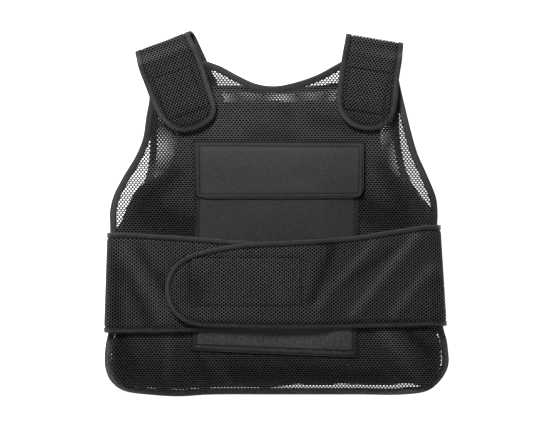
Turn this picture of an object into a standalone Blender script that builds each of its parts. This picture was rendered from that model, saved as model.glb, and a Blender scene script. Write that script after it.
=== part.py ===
"""Mesh-covered stab vest, lying on its back.

The head end points to +Y, the front faces up (+Z) and the back rests on z = 0. Left and right are
as seen from above. Every size below is in millimetres and becomes metres when an object is made.

Each panel is two layers of mesh cloth with a stab insert between them and a binding round the edge.
Two mesh straps are sewn under the back panel, fold over and close on the front panel. Two mesh
belts are sewn under the back panel, wrap round the sides and close over the front and its pocket.
"""

import math
from collections import namedtuple

import bmesh
import bpy
from mathutils import Vector
from mathutils.geometry import delaunay_2d_cdt

MM = 0.001

# Cloth, insert and binding sizes
GAP = 0.3
MESH_CLOTH = 1.0
INSERT_THICK = 7.0
POCKET_CLOTH = 1.0
HOOK_THICK = 1.2
STRAP_THICK = 3.0
BELT_THICK = 2.4
PANEL_BINDING = {"width": 8.5, "thick": 3.2}
STRAP_BINDING = {"width": 8.0, "thick": 3.2}
BELT_BINDING = {"width": 7.0, "thick": 2.8}
BINDING_NOSE = 1.2
SEAT = 0.5

# The panels' shape as they lie
PANEL_HALF_WIDTH = 258.0
SIDE_RISE = 20.0
SIDE_RISE_FROM = 110.0
SHOULDER_LIFT = 4.0
SHOULDER_LIFT_FROM, SHOULDER_LIFT_TO = 95.0, 142.0
FRONT_FLOOR = 10.2
ARCH_POWER = 3.0
TENT_REACH = 25.0
COVER_REACH = 60.0

Crown = namedtuple("Crown", "y height")
FRONT_CROWN = [
    Crown(-275, 12),
    Crown(-240, 24),
    Crown(-190, 33),
    Crown(-110, 38),
    Crown(-20, 37),
    Crown(60, 29),
    Crown(130, 15),
    Crown(180, 7),
    Crown(240, 3),
]

# Heights of the layers above a panel's own base surface, at the edge and over the insert
BACK_OUTER_EDGE = 1.35
BACK_INNER_EDGE = BACK_OUTER_EDGE + MESH_CLOTH + GAP
BACK_INSERT_LOW = MESH_CLOTH + GAP
BACK_INNER_HIGH = BACK_INSERT_LOW + INSERT_THICK + GAP
FRONT_INSERT_LOW = MESH_CLOTH + GAP
FRONT_OUTER_EDGE = MESH_CLOTH + GAP
FRONT_OUTER_HIGH = FRONT_INSERT_LOW + INSERT_THICK + GAP
FRONT_BINDING_MID = MESH_CLOTH + GAP / 2
BACK_BINDING_MID = BACK_OUTER_EDGE + MESH_CLOTH + GAP / 2

# Panel outlines, x and y of the points that each smooth stretch runs through
LOWER_BODY = [
    (240.5, -16), (240, -40), (243.5, -90), (247.5, -150), (250, -172), (255, -190), (257, -206),
    (258, -222), (255, -234), (244, -251), (226, -265), (190, -270.8), (120, -271.2),
    (0, -271.2), (-100, -271.5), (-145, -274), (-186, -271.5), (-229.5, -264.4),
    (-248, -250), (-256, -230), (-256.5, -208), (-254.5, -192), (-251, -176), (-250.5, -150),
    (-248, -80), (-248.5, -22),
]
FRONT_RIGHT_ARMHOLE = [
    (180, 222), (184.5, 195), (193, 157), (202.5, 118), (211.5, 88), (224, 60), (238.5, 24), (241, 2),
]
FRONT_LEFT_ARMHOLE = [
    (-248.5, 5), (-243, 27), (-228, 56), (-210, 86), (-199.5, 112), (-194.5, 145), (-190, 172), (-190, 203),
]
FRONT_NECKLINE = [
    (-106, 229), (-84, 221), (-57, 206.5), (-30, 194.5), (-3, 191), (24, 195.5), (60, 207.5),
    (87, 222), (111, 235.5),
]
BACK_RIGHT_ARMHOLE = [
    (181, 198), (184, 165), (184.5, 126), (188, 95), (194, 68), (204, 45), (217.5, 24), (232, 6),
]
BACK_LEFT_ARMHOLE = [
    (-231, -9), (-217.5, 9), (-204, 33), (-195, 58), (-190.5, 85), (-189, 126), (-188, 186),
]
BACK_NECKLINE = [(-188, 186), (-90, 191.5), (0, 191), (60, 192), (95, 197), (181, 198)]
BACK_SET_IN = 6.0
FRONT_INSERT_SET_IN = 13.5
BACK_INSERT_SET_IN = 18.5
INSERT_TOP = 168.0
FRONT_INSERT_RIGHT = [(157, 158), (157, 98), (164, 78), (175, 60), (190, 50), (206, 32), (222, 10)]
FRONT_INSERT_LEFT = [
    (-221, 13), (-206, 37), (-190, 51), (-172, 58), (-158, 75), (-150, 98), (-147, 125), (-146, 158),
]
BACK_INSERT_RIGHT = [(157, 155), (157, 98), (164, 78), (174, 58), (188, 38), (204, 13)]
BACK_INSERT_LEFT = [
    (-204, -4), (-190, 24), (-181, 47), (-167, 60), (-156, 78), (-150, 98), (-147, 125), (-146, 155),
]
INSERT_CORNER = 12.0

# Pocket and flap
POCKET = {
    "corners": [(-124.5, -203.6), (119, -214), (123, 95.5), (-118.5, 95.5)],
    "bulge": 1.2,
    "bulge_reach": 12.0,
}
FLAP = {
    "corners": [(-122, 22.2), (131.7, 23), (132.5, 107), (-124, 108.5)],
    "round": 8.0,
    "rise": 2.9,
    "rise_reach": 12.0,
}

# Belts, world x and y on the front; the run past the side joint goes round the side and under the back
BELT_JOINT = 222.0
BELT_ARC = 74.0
BELT_ARC_POWER = 3.0
BELT_MID_Z = 29.0
BELT_REAR = 60.0
BELT_REAR_SEAT = 1.8
BELT_COLUMN = 30.0
SIDE_STEPS = 12
LEFT_BELT_SIDE = {"top": (-20, 253.0), "bottom": (-170, 258.0)}
RIGHT_BELT_SIDE = {"top": (-20, 246.0), "bottom": (-170, 255.5)}
LEFT_BELT_TOP = [(-222, -28.5), (-189, -30.4), (-121.5, -34.7), (-65, -39.4), (-10, -43.5), (36, -47)]
LEFT_BELT_BOTTOM = [(36, -166.5), (-37.5, -171.4), (-93, -174.4), (-159, -177.2), (-222, -178)]
RIGHT_BELT_TOP = [
    (222, -17), (208.5, -19), (163.5, -26), (133.5, -31), (96, -35.6), (21, -40.3), (-46.5, -43.9),
]
RIGHT_BELT_END = [
    (-91.5, -51), (-129, -61), (-153, -78), (-165, -108), (-159, -140), (-140, -160), (-117, -167.6),
]
RIGHT_BELT_BOTTOM = [(-65, -169.7), (10, -171.5), (103.5, -170.6), (199, -168.4), (222, -167.8)]
POCKET_LIFT = 3.2
FREE_LIFT = 2.4
POCKET_LIFT_EDGE, FREE_LIFT_EDGE = 135.0, 165.0
OVERLAP_LIFT = 5.2
OVERLAP_TO, OVERLAP_GONE = 52.0, 92.0
BELT_HOOK = {"low": (-129, -137), "high": (37, -65)}
HOOK_STEP = 28.0

Fold = namedtuple("Fold", "x1 y1 x2 y2 height reach")
RIGHT_BELT_FOLDS = [
    Fold(144, -48, 63, -137, 2.6, 10),
    Fold(208, -36, 116, -150, 4.0, 11),
    Fold(234, -76, 174, -152, 2.6, 10),
]

# Straps: q runs down the front from the fold line, left and right are measured from the strap's axis
FOLD_RADIUS = 9.0
STRAP_FLOOR = 0.15
STRAP_REAR = 112.0
STRAP_CLEAR = 3.2
STRAP_RISE = 18.0
STRAP_COLUMN = 20.0
STRAP_ROW = (-15.0, 15.0)
Section = namedtuple("Section", "q left right")
LEFT_STRAP = {
    "name": "left_strap",
    "fold": (-172.7, 259.9),
    "rear_fold": (-163.5, 254.6),
    "front_lean": 19.0,
    "rear_lean": 24.7,
    "sections": [
        Section(0, -43.5, 43.5), Section(30, -45.3, 46.3), Section(60, -44.4, 48), Section(80, -43.7, 47.5),
        Section(104, -41.3, 47), Section(122, -35.5, 45.6), Section(134.5, -27.2, 39),
        Section(142.4, -14.9, 26), Section(145, 0, 10),
    ],
    "hook": {"low": (-30, 52), "high": (30, 118)},
}
RIGHT_STRAP = {
    "name": "right_strap",
    "fold": (147.8, 262.1),
    "rear_fold": (147.8, 262.1),
    "front_lean": -9.5,
    "rear_lean": -9.5,
    "sections": [
        Section(0, -43.8, 44.1), Section(26, -44.3, 45), Section(58, -44.2, 45.4), Section(90, -42.5, 48),
        Section(109, -39.5, 46.8), Section(119.5, -34.3, 42.6), Section(129.4, -25, 34.5),
        Section(136, -14.5, 23), Section(138.8, -2.6, 12),
    ],
    "hook": {"low": (-30, 48), "high": (30, 112)},
}

# Fineness of the faceted model
CURVE_STEP = 3.0
CHORD_ERROR = 0.5
LONGEST_EDGE = 40.0
SHORTEST_END = 14.0
EDGE_CLEAR = 5.5
FOLD_CLEAR = 1.6
FRONT_GRID = 40.0
BACK_GRID = 54.0
SHARP_ANGLE = math.radians(35)

Material = namedtuple("Material", "colour roughness")
MATERIALS = {
    "mesh_cloth": Material((0.026, 0.026, 0.027, 1), 0.75),
    "insert_cover": Material((0.012, 0.012, 0.013, 1), 0.85),
    "binding_tape": Material((0.032, 0.032, 0.033, 1), 0.7),
    "pocket_cloth": Material((0.045, 0.045, 0.046, 1), 0.65),
    "hook_tape": Material((0.02, 0.02, 0.02, 1), 0.8),
}


# Small maths
def clamp(value, low=0.0, high=1.0):
    return max(low, min(high, value))


def smooth(value):
    t = clamp(value)
    return t * t * (3 - 2 * t)


def mix(a, b, share):
    return a + (b - a) * share


def curve_through(points, step=CURVE_STEP):
    """Points at about every step on a smooth curve through the given points."""
    pts = [Vector(p) for p in points]
    if len(pts) == 2:
        count = math.ceil((pts[1] - pts[0]).length / step)
        return [pts[0].lerp(pts[1], i / count) for i in range(count + 1)]
    ends = [2 * pts[0] - pts[1], *pts, 2 * pts[-1] - pts[-2]]
    found = []
    for p0, p1, p2, p3 in zip(ends, ends[1:], ends[2:], ends[3:]):
        knots = [0.0]
        for a, b in ((p0, p1), (p1, p2), (p2, p3)):
            knots.append(knots[-1] + max((b - a).length, 1e-6) ** 0.5)
        t0, t1, t2, t3 = knots
        count = max(2, round((p2 - p1).length / step))
        for i in range(count):
            t = mix(t1, t2, i / count)
            a1 = p0 * ((t1 - t) / (t1 - t0)) + p1 * ((t - t0) / (t1 - t0))
            a2 = p1 * ((t2 - t) / (t2 - t1)) + p2 * ((t - t1) / (t2 - t1))
            a3 = p2 * ((t3 - t) / (t3 - t2)) + p3 * ((t - t2) / (t3 - t2))
            b1 = a1 * ((t2 - t) / (t2 - t0)) + a2 * ((t - t0) / (t2 - t0))
            b2 = a2 * ((t3 - t) / (t3 - t1)) + a3 * ((t - t1) / (t3 - t1))
            found.append(b1 * ((t2 - t) / (t2 - t1)) + b2 * ((t - t1) / (t2 - t1)))
    found.append(pts[-1])
    return found


def segment_distance(p, a, b):
    along = b - a
    share = clamp((p - a).dot(along) / max(along.length_squared, 1e-9))
    return (p - a - along * share).length


def thinned(points, error=CHORD_ERROR, longest=LONGEST_EDGE):
    """The fewest of the points whose straight runs stay close to the curve."""
    kept = [points[0]]
    start = 0
    while start < len(points) - 1:
        end = start + 1
        while end + 1 < len(points):
            chord_ok = (points[end + 1] - points[start]).length <= longest
            between = points[start + 1 : end + 1]
            near = all(segment_distance(p, points[start], points[end + 1]) <= error for p in between)
            if not (chord_ok and near):
                break
            end += 1
        kept.append(points[end])
        start = end
    if len(kept) > 2 and (kept[-1] - kept[-2]).length < SHORTEST_END:
        kept.pop(-2)
    return kept


def joined(stretches):
    """One closed loop of stretches, each starting where the one before it ends."""
    loop = []
    for stretch in stretches:
        loop.extend(thinned(curve_through(stretch))[:-1])
    return loop


def inward_normals(path, closed):
    """The mitred direction to the left of the path at each point, longer at corners."""
    count = len(path)
    normals = []
    for i, point in enumerate(path):
        before = path[i - 1] if closed or i > 0 else None
        after = path[(i + 1) % count] if closed or i < count - 1 else None
        sides = []
        for a, b in ((before, point), (point, after)):
            if a is not None and b is not None:
                d = (b - a).normalized()
                sides.append(Vector((-d.y, d.x)))
        total = sum(sides, Vector((0, 0)))
        total.normalize()
        normals.append(total / max(total.dot(sides[0]), 0.35))
    return normals


def inset(loop, distance):
    """A counterclockwise loop moved inwards."""
    return [p + n * distance for p, n in zip(loop, inward_normals(loop, True))]


def loop_distance(loop, p):
    return min(segment_distance(p, a, b) for a, b in zip(loop, loop[1:] + loop[:1]))


def inside(loop, p):
    crossings = 0
    for a, b in zip(loop, loop[1:] + loop[:1]):
        if (a.y > p.y) != (b.y > p.y) and p.x < a.x + (p.y - a.y) / (b.y - a.y) * (b.x - a.x):
            crossings += 1
    return crossings % 2 == 1


def table_curve(rows, y):
    """A smooth height between the rows of a (y, height) table."""
    i = clamp(sum(1 for r in rows if r.y <= y) - 1, 0, len(rows) - 2)
    a, b = rows[i], rows[i + 1]
    before, after = rows[max(i - 1, 0)], rows[min(i + 2, len(rows) - 1)]
    span = b.y - a.y
    slope_a = (b.height - before.height) / (b.y - before.y)
    slope_b = (after.height - a.height) / (after.y - a.y)
    t = clamp((y - a.y) / span)
    from_a = a.height * (2 * t**3 - 3 * t**2 + 1) + slope_a * span * (t**3 - 2 * t**2 + t)
    from_b = b.height * (3 * t**2 - 2 * t**3) + slope_b * span * (t**3 - t**2)
    return from_a + from_b


# Outlines
def lower_body(set_in=0.0):
    points = [Vector(p) for p in LOWER_BODY]
    if not set_in:
        return points
    path = thinned(curve_through(points), 0.8, 60.0)[::-1]
    return [p + n * set_in for p, n in zip(path, inward_normals(path, False))][::-1]


def counterclockwise(loop):
    area = sum(a.x * b.y - b.x * a.y for a, b in zip(loop, loop[1:] + loop[:1]))
    return loop if area > 0 else loop[::-1]


def front_outline():
    body = FRONT_RIGHT_ARMHOLE + [tuple(p) for p in lower_body()] + FRONT_LEFT_ARMHOLE
    left_shoulder = [FRONT_LEFT_ARMHOLE[-1], FRONT_NECKLINE[0]]
    right_shoulder = [FRONT_NECKLINE[-1], FRONT_RIGHT_ARMHOLE[0]]
    return counterclockwise(joined([body, left_shoulder, FRONT_NECKLINE, right_shoulder]))


def back_outline():
    body = BACK_RIGHT_ARMHOLE + [tuple(p) for p in lower_body(BACK_SET_IN)][1:-1] + BACK_LEFT_ARMHOLE
    return counterclockwise(joined([body, BACK_NECKLINE]))


def insert_outline(right, left, set_in):
    """The insert follows the lower body, swings in at the armholes and is cut straight at the top."""
    lower = [tuple(p) for p in lower_body(set_in)]
    lower = [p for p in lower if p[1] < -30]
    body = right + lower + left
    top_left = (left[-1][0] + INSERT_CORNER, INSERT_TOP)
    top_right = (right[0][0] - INSERT_CORNER, INSERT_TOP)
    loop = joined([body, [left[-1], top_left], [top_left, top_right], [top_right, right[0]]])
    return counterclockwise(loop)


def rounded_polygon(corners, radius, rounded):
    """A polygon whose corners listed in rounded are arcs, the others sharp."""
    loop = []
    count = len(corners)
    for i, corner in enumerate(corners):
        c = Vector(corner)
        if i not in rounded:
            loop.append(c)
            continue
        to_before = (Vector(corners[i - 1]) - c).normalized()
        to_after = (Vector(corners[(i + 1) % count]) - c).normalized()
        centre = c + (to_before + to_after) * radius
        start, end = c + to_before * radius - centre, c + to_after * radius - centre
        sweep = start.angle_signed(end)
        for step in range(5):
            turn = -sweep * step / 4
            cos, sin = math.cos(turn), math.sin(turn)
            loop.append(centre + Vector((start.x * cos - start.y * sin, start.x * sin + start.y * cos)))
    return loop


# The surfaces on which everything lies
def side_share(x):
    return smooth((abs(x) - SIDE_RISE_FROM) / (PANEL_HALF_WIDTH - SIDE_RISE_FROM))


def lie_of_back(x, y):
    """The floor-side surface of the back panel: flat in the middle, curling up at the sides."""
    lift = SHOULDER_LIFT * smooth((y - SHOULDER_LIFT_FROM) / (SHOULDER_LIFT_TO - SHOULDER_LIFT_FROM))
    return SIDE_RISE * side_share(x) + lift


def lie_of_front(x, y):
    """The body-side surface of the front panel, arched over the back panel."""
    arch = 1 - min(abs(x) / PANEL_HALF_WIDTH, 1) ** ARCH_POWER
    return FRONT_FLOOR + lie_of_back(x, y) + table_curve(FRONT_CROWN, y) * arch


def tent(insert, outline, p, reach):
    """1 over the insert, falling to 0 at the panel's sewn edge or at reach from the insert."""
    if inside(insert, p):
        return 1.0
    from_insert = loop_distance(insert, p)
    if from_insert < 0.01:
        return 1.0
    to_edge = loop_distance(outline, p) if outline else reach
    return max(0.0, 1 - from_insert / min(reach, from_insert + to_edge))


# Mesh building
def triangulate(loops, spots=(), creases=()):
    """Triangles inside the first loop, with every loop, spot and crease kept as points and edges."""
    verts, edges, faces = [], [], []
    for loop in loops:
        faces.append(list(range(len(verts), len(verts) + len(loop))))
        verts.extend(loop)
    for line in creases:
        edges.extend((len(verts) + i, len(verts) + i + 1) for i in range(len(line) - 1))
        verts.extend(line)
    verts.extend(spots)
    points, _, triangles, _, _, owners = delaunay_2d_cdt(verts, edges, faces, 1, 1e-3, True)
    kept = [(t, set(o)) for t, o in zip(triangles, owners) if 0 in o]
    return points, kept


def grid_spots(loops, spacing, clearance=0.42):
    """A staggered grid inside the first loop that keeps away from every loop."""
    xs, ys = [p.x for p in loops[0]], [p.y for p in loops[0]]
    row_step = spacing * math.sqrt(3) / 2
    spots = []
    for row in range(math.floor(min(ys) / row_step), math.ceil(max(ys) / row_step)):
        shift = spacing / 2 * (row % 2)
        for column in range(math.floor(min(xs) / spacing), math.ceil(max(xs) / spacing)):
            p = Vector((column * spacing + shift, row * row_step))
            if inside(loops[0], p) and all(loop_distance(l, p) > spacing * clearance for l in loops):
                spots.append(p)
    return spots


def add_object(name, verts, faces, material):
    mesh = bpy.data.meshes.new(name)
    mesh.from_pydata([Vector(v) * MM for v in verts], [], faces)
    bm = bmesh.new()
    bm.from_mesh(mesh)
    bmesh.ops.recalc_face_normals(bm, faces=bm.faces)
    bmesh.ops.triangulate(bm, faces=[f for f in bm.faces if len(f.verts) > 3])
    bm.to_mesh(mesh)
    bm.free()
    mesh.materials.append(material)
    mesh.shade_smooth()
    mesh.set_sharp_from_angle(angle=SHARP_ANGLE)
    obj = bpy.data.objects.new(name, mesh)
    bpy.context.scene.collection.objects.link(obj)
    return obj


def layer(name, points, triangles, place, low, high, material):
    """A cloth layer: the triangles placed at height low and again at height high, closed at the rim."""
    used = sorted({i for t in triangles for i in t})
    index = {v: i for i, v in enumerate(used)}
    count = len(used)
    verts = [place(points[v], low(points[v])) for v in used]
    verts += [place(points[v], high(points[v])) for v in used]
    faces = [[index[v] for v in reversed(t)] for t in triangles]
    faces += [[index[v] + count for v in t] for t in triangles]
    directed = {(t[i], t[(i + 1) % 3]) for t in triangles for i in range(3)}
    for a, b in directed:
        if (b, a) not in directed:
            faces.append([index[a], index[b], index[b] + count, index[a] + count])
    return add_object(name, verts, faces, material)


def binding(name, path, closed, place, mid, size, material):
    """A band along the left of a path: blunt on its inner edge, nosed on its outer one."""
    half = size["thick"] / 2
    section = [
        (0, mid),
        (BINDING_NOSE, mid + half),
        (size["width"], mid + half),
        (size["width"], mid - half),
        (BINDING_NOSE, mid - half),
    ]
    verts = []
    for point, normal in zip(path, inward_normals(path, closed)):
        verts += [place(point + normal * k, h) for k, h in section]
    sides, stations = len(section), len(path)
    faces = []
    for i in range(stations if closed else stations - 1):
        j = (i + 1) % stations
        for k in range(sides):
            m = (k + 1) % sides
            faces.append([i * sides + k, i * sides + m, j * sides + m, j * sides + k])
    if not closed:
        faces.append([k for k in reversed(range(sides))])
        faces.append([(stations - 1) * sides + k for k in range(sides)])
    return add_object(name, verts, faces, material)


def steady(height):
    return lambda p: height


def thicker(low, thickness):
    return lambda p: low(p) + thickness


# Panels
def on_back(p, height):
    return (p.x, p.y, lie_of_back(p.x, p.y) + height)


def on_front(p, height):
    return (p.x, p.y, lie_of_front(p.x, p.y) + height)


def build_back(materials):
    outline = back_outline()
    cloth = inset(outline, PANEL_BINDING["width"] + GAP)
    insert = insert_outline(BACK_INSERT_RIGHT, BACK_INSERT_LEFT, BACK_INSERT_SET_IN)
    points, owned = triangulate([cloth, insert], grid_spots([cloth, insert], BACK_GRID))
    everywhere = [t for t, o in owned]
    over_insert = [t for t, o in owned if 1 in o]

    def share(p):
        return tent(insert, cloth, p, TENT_REACH)

    def outer_low(p):
        return BACK_OUTER_EDGE * (1 - share(p))

    def inner_low(p):
        return mix(BACK_INNER_EDGE, BACK_INNER_HIGH, share(p))

    mesh = materials["mesh_cloth"]
    layer("back_outer_mesh", points, everywhere, on_back, outer_low, thicker(outer_low, MESH_CLOTH), mesh)
    layer("back_inner_mesh", points, everywhere, on_back, inner_low, thicker(inner_low, MESH_CLOTH), mesh)
    insert_low = steady(BACK_INSERT_LOW)
    cover, tape = materials["insert_cover"], materials["binding_tape"]
    layer("back_insert", points, over_insert, on_back, insert_low, thicker(insert_low, INSERT_THICK), cover)
    binding("back_binding", outline, True, on_back, BACK_BINDING_MID, PANEL_BINDING, tape)


def build_front(materials):
    """The front panel, its pocket and flap, which all share one set of triangles, so none cuts another."""
    outline = front_outline()
    cloth = inset(outline, PANEL_BINDING["width"] + GAP)
    insert = insert_outline(FRONT_INSERT_RIGHT, FRONT_INSERT_LEFT, FRONT_INSERT_SET_IN)
    pocket = rounded_polygon(POCKET["corners"], 0, ())
    flap = rounded_polygon(FLAP["corners"], FLAP["round"], (0, 1))
    loops = [cloth, insert, pocket, flap]
    points, owned = triangulate(loops, grid_spots(loops, FRONT_GRID))

    def share(p):
        return tent(insert, cloth, p, TENT_REACH)

    def outer_low(p):
        return mix(FRONT_OUTER_EDGE, FRONT_OUTER_HIGH, share(p))

    outer_high = thicker(outer_low, MESH_CLOTH)
    sewn_edges = [(pocket[3], pocket[0]), (pocket[0], pocket[1]), (pocket[1], pocket[2])]

    def pocket_low(p):
        sewn = min(segment_distance(p, a, b) for a, b in sewn_edges)
        return outer_high(p) + GAP + POCKET["bulge"] * smooth(sewn / POCKET["bulge_reach"])

    def flap_low(p):
        below_top = mix(FLAP["corners"][3][1], FLAP["corners"][2][1], 0.5) - p.y
        return outer_high(p) + GAP + FLAP["rise"] * clamp(below_top / FLAP["rise_reach"])

    mesh, cover = materials["mesh_cloth"], materials["insert_cover"]
    everywhere = [t for t, o in owned]
    over_insert = [t for t, o in owned if 1 in o]
    over_pocket = [t for t, o in owned if 2 in o]
    over_flap = [t for t, o in owned if 3 in o]
    layer("front_inner_mesh", points, everywhere, on_front, steady(0), steady(MESH_CLOTH), mesh)
    insert_low = steady(FRONT_INSERT_LOW)
    insert_high = thicker(insert_low, INSERT_THICK)
    layer("front_insert", points, over_insert, on_front, insert_low, insert_high, cover)
    layer("front_outer_mesh", points, everywhere, on_front, outer_low, outer_high, mesh)
    plain, tape = materials["pocket_cloth"], materials["binding_tape"]
    layer("pocket", points, over_pocket, on_front, pocket_low, thicker(pocket_low, POCKET_CLOTH), plain)
    layer("pocket_flap", points, over_flap, on_front, flap_low, thicker(flap_low, POCKET_CLOTH), plain)
    binding("front_binding", outline, True, on_front, FRONT_BINDING_MID, PANEL_BINDING, tape)
    return insert


# Covers: the surface that a strap or belt lies on
def cover_of_front(insert):
    edge = max(FRONT_OUTER_EDGE + MESH_CLOTH, FRONT_BINDING_MID + PANEL_BINDING["thick"] / 2)

    def cover(x, y):
        share = tent(insert, None, Vector((x, y)), COVER_REACH)
        return lie_of_front(x, y) + mix(edge, FRONT_OUTER_HIGH + MESH_CLOTH, share)

    return cover


def fold_height(folds, x, y):
    p = Vector((x, y))
    total = 0.0
    for f in folds:
        total += f.height * max(0.0, 1 - segment_distance(p, *fold_line(f)) / f.reach)
    return total


def fold_line(fold):
    return Vector((fold.x1, fold.y1)), Vector((fold.x2, fold.y2))


def fold_creases(folds):
    """The crest and the two feet of each fold."""
    lines = []
    for f in folds:
        a, b = fold_line(f)
        along = (b - a).normalized()
        across = Vector((-along.y, along.x)) * f.reach
        lines.append([a, (a + b) / 2, b])
        for side in (-1, 1):
            lines.append([a + across * side, (a + b) / 2 + across * side, b + across * side])
    return lines


# Belts
def arc_table(width, height, steps=96):
    """Lengths along half a superellipse, as (length, angle) from its top to its bottom."""
    rows, last, total = [], None, 0.0
    for i in range(steps + 1):
        angle = math.pi * (0.5 - i / steps)
        point = superellipse(width, height, height, angle)
        if last is not None:
            total += (point - last).length
        last = point
        rows.append((total, angle))
    return [(length / total, angle) for length, angle in rows]


def superellipse(width, up, down, angle):
    c, s = math.cos(angle), math.sin(angle)
    power = 2 / BELT_ARC_POWER
    x = width * max(c, 0) ** power
    z = (up if s > 0 else down) * abs(s) ** power * (1 if s > 0 else -1)
    return Vector((x, z))


ARC_TABLE = arc_table(30.0, 17.0)


def arc_angle(share):
    for (s0, a0), (s1, a1) in zip(ARC_TABLE, ARC_TABLE[1:]):
        if share <= s1:
            return mix(a0, a1, (share - s0) / (s1 - s0))
    return ARC_TABLE[-1][1]


def belt_place(side, reach, cover):
    """Places a belt's pattern point: on the front, round the side past the joint, then under the back."""
    (y_top, x_top), (y_bottom, x_bottom) = reach["top"], reach["bottom"]

    def place(p, height):
        run = p.x * side - BELT_JOINT
        y = p.y
        if run <= 0:
            return (p.x, y, cover(p.x, y) + height)
        if run < BELT_ARC:
            far = mix(x_top, x_bottom, clamp((y - y_top) / (y_bottom - y_top))) - BELT_BINDING["thick"]
            up = cover(side * BELT_JOINT, y) - BELT_MID_Z
            down = BELT_MID_Z - lie_of_back(BELT_JOINT, y) + BELT_REAR_SEAT
            angle = arc_angle(run / BELT_ARC)
            width = far - BELT_JOINT
            at = superellipse(width, up, down, angle)
            step = 0.02
            ahead = superellipse(width, up, down, max(angle - step, -math.pi / 2))
            behind = superellipse(width, up, down, min(angle + step, math.pi / 2))
            along = (ahead - behind).normalized()
            out = Vector((-along.y, along.x)) * height
            return (side * (BELT_JOINT + at.x + out.x), y, BELT_MID_Z + at.y + out.y)
        x = BELT_JOINT - (run - BELT_ARC)
        return (side * x, y, lie_of_back(x, y) - BELT_REAR_SEAT - height)

    return place


def belt_edges(side, top, end, bottom):
    """The belt's outline from its rear end along the top, round its front end and back along the bottom."""
    far = side * (BELT_JOINT + BELT_ARC + BELT_REAR)
    steps = [side * (BELT_JOINT + BELT_ARC * (i / SIDE_STEPS)) for i in range(1, SIDE_STEPS + 1)]
    stops = [*steps, mix(steps[-1], far, 0.5), far]
    front = thinned(curve_through(top + end + bottom), CHORD_ERROR, BELT_COLUMN)
    upper = [Vector((x, top[0][1])) for x in reversed(stops)]
    lower = [Vector((x, bottom[-1][1])) for x in stops]
    return upper + front + lower, stops


def build_belt(name, side, reach, cover, edges, folds, hooks, materials):
    top, end, bottom = edges
    path, stops = belt_edges(side, top, end, bottom)
    turned = side > 0
    place = belt_place(side, reach, cover)
    ordered = path if turned else path[::-1]
    mid = BELT_THICK / 2
    binding(f"{name}_binding", ordered, False, place, mid, BELT_BINDING, materials["binding_tape"])
    normals = inward_normals(ordered, False)
    inner = [p + n * (BELT_BINDING["width"] + GAP) for p, n in zip(ordered, normals)]
    rows = [mix(top[0][1], bottom[-1][1], share) for share in (0.25, 0.5, 0.75)]
    spots = [Vector((x, y)) for x in stops[:-1] for y in rows]
    x = side * (BELT_JOINT - BELT_COLUMN / 2)
    while inside(inner, Vector((x, rows[1]))):
        spots += [Vector((x, y)) for y in rows]
        x -= side * BELT_COLUMN
    loops = [inner, *hooks]
    kept = []
    for p in spots:
        off_folds = all(segment_distance(p, *fold_line(f)) > f.reach * FOLD_CLEAR for f in folds)
        if inside(inner, p) and all(loop_distance(l, p) > EDGE_CLEAR for l in loops) and off_folds:
            kept.append(p)
    kept += [Vector((x, y)) for x in stops[-1:] for y in rows]
    points, owned = triangulate(loops, kept, fold_creases(folds))
    cloth = [t for t, o in owned]
    layer(f"{name}_mesh", points, cloth, place, steady(0), steady(BELT_THICK), materials["mesh_cloth"])
    for hook in hooks:
        hook_patch("belt_hook_patch", points, [t for t, o in owned if 1 in o], place, materials)


def build_belts(front_cover, materials):
    def left_cover(x, y):
        off_pocket = smooth((abs(x) - POCKET_LIFT_EDGE) / (FREE_LIFT_EDGE - POCKET_LIFT_EDGE))
        return front_cover(x, y) + mix(POCKET_LIFT, FREE_LIFT, off_pocket)

    def right_cover(x, y):
        over_left = OVERLAP_LIFT * smooth((OVERLAP_GONE - x) / (OVERLAP_GONE - OVERLAP_TO))
        return left_cover(x, y) + over_left + fold_height(RIGHT_BELT_FOLDS, x, y)

    left_edges = (LEFT_BELT_TOP, [], LEFT_BELT_BOTTOM)
    right_edges = (RIGHT_BELT_TOP, RIGHT_BELT_END, RIGHT_BELT_BOTTOM)
    hook = rectangle(BELT_HOOK["low"], BELT_HOOK["high"])
    folds = RIGHT_BELT_FOLDS
    build_belt("left_belt", -1, LEFT_BELT_SIDE, left_cover, left_edges, [], [], materials)
    build_belt("right_belt", 1, RIGHT_BELT_SIDE, right_cover, right_edges, folds, [hook], materials)


def rectangle(low, high):
    """A counterclockwise rectangle with points along its sides."""
    (x0, y0), (x1, y1) = low, high
    columns, rows = max(2, round((x1 - x0) / HOOK_STEP)), max(2, round((y1 - y0) / HOOK_STEP))
    rim = [Vector((mix(x0, x1, i / columns), y0)) for i in range(columns)]
    rim += [Vector((x1, mix(y0, y1, i / rows))) for i in range(rows)]
    rim += [Vector((mix(x1, x0, i / columns), y1)) for i in range(columns)]
    rim += [Vector((x0, mix(y1, y0, i / rows))) for i in range(rows)]
    return rim


def hook_patch(name, points, triangles, place, materials):
    """A rectangle of hook tape sewn under the free end of a strap or belt, sharing its triangles."""
    low, high = steady(-SEAT - HOOK_THICK), steady(-SEAT)
    layer(name, points, triangles, place, low, high, materials["hook_tape"])


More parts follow.
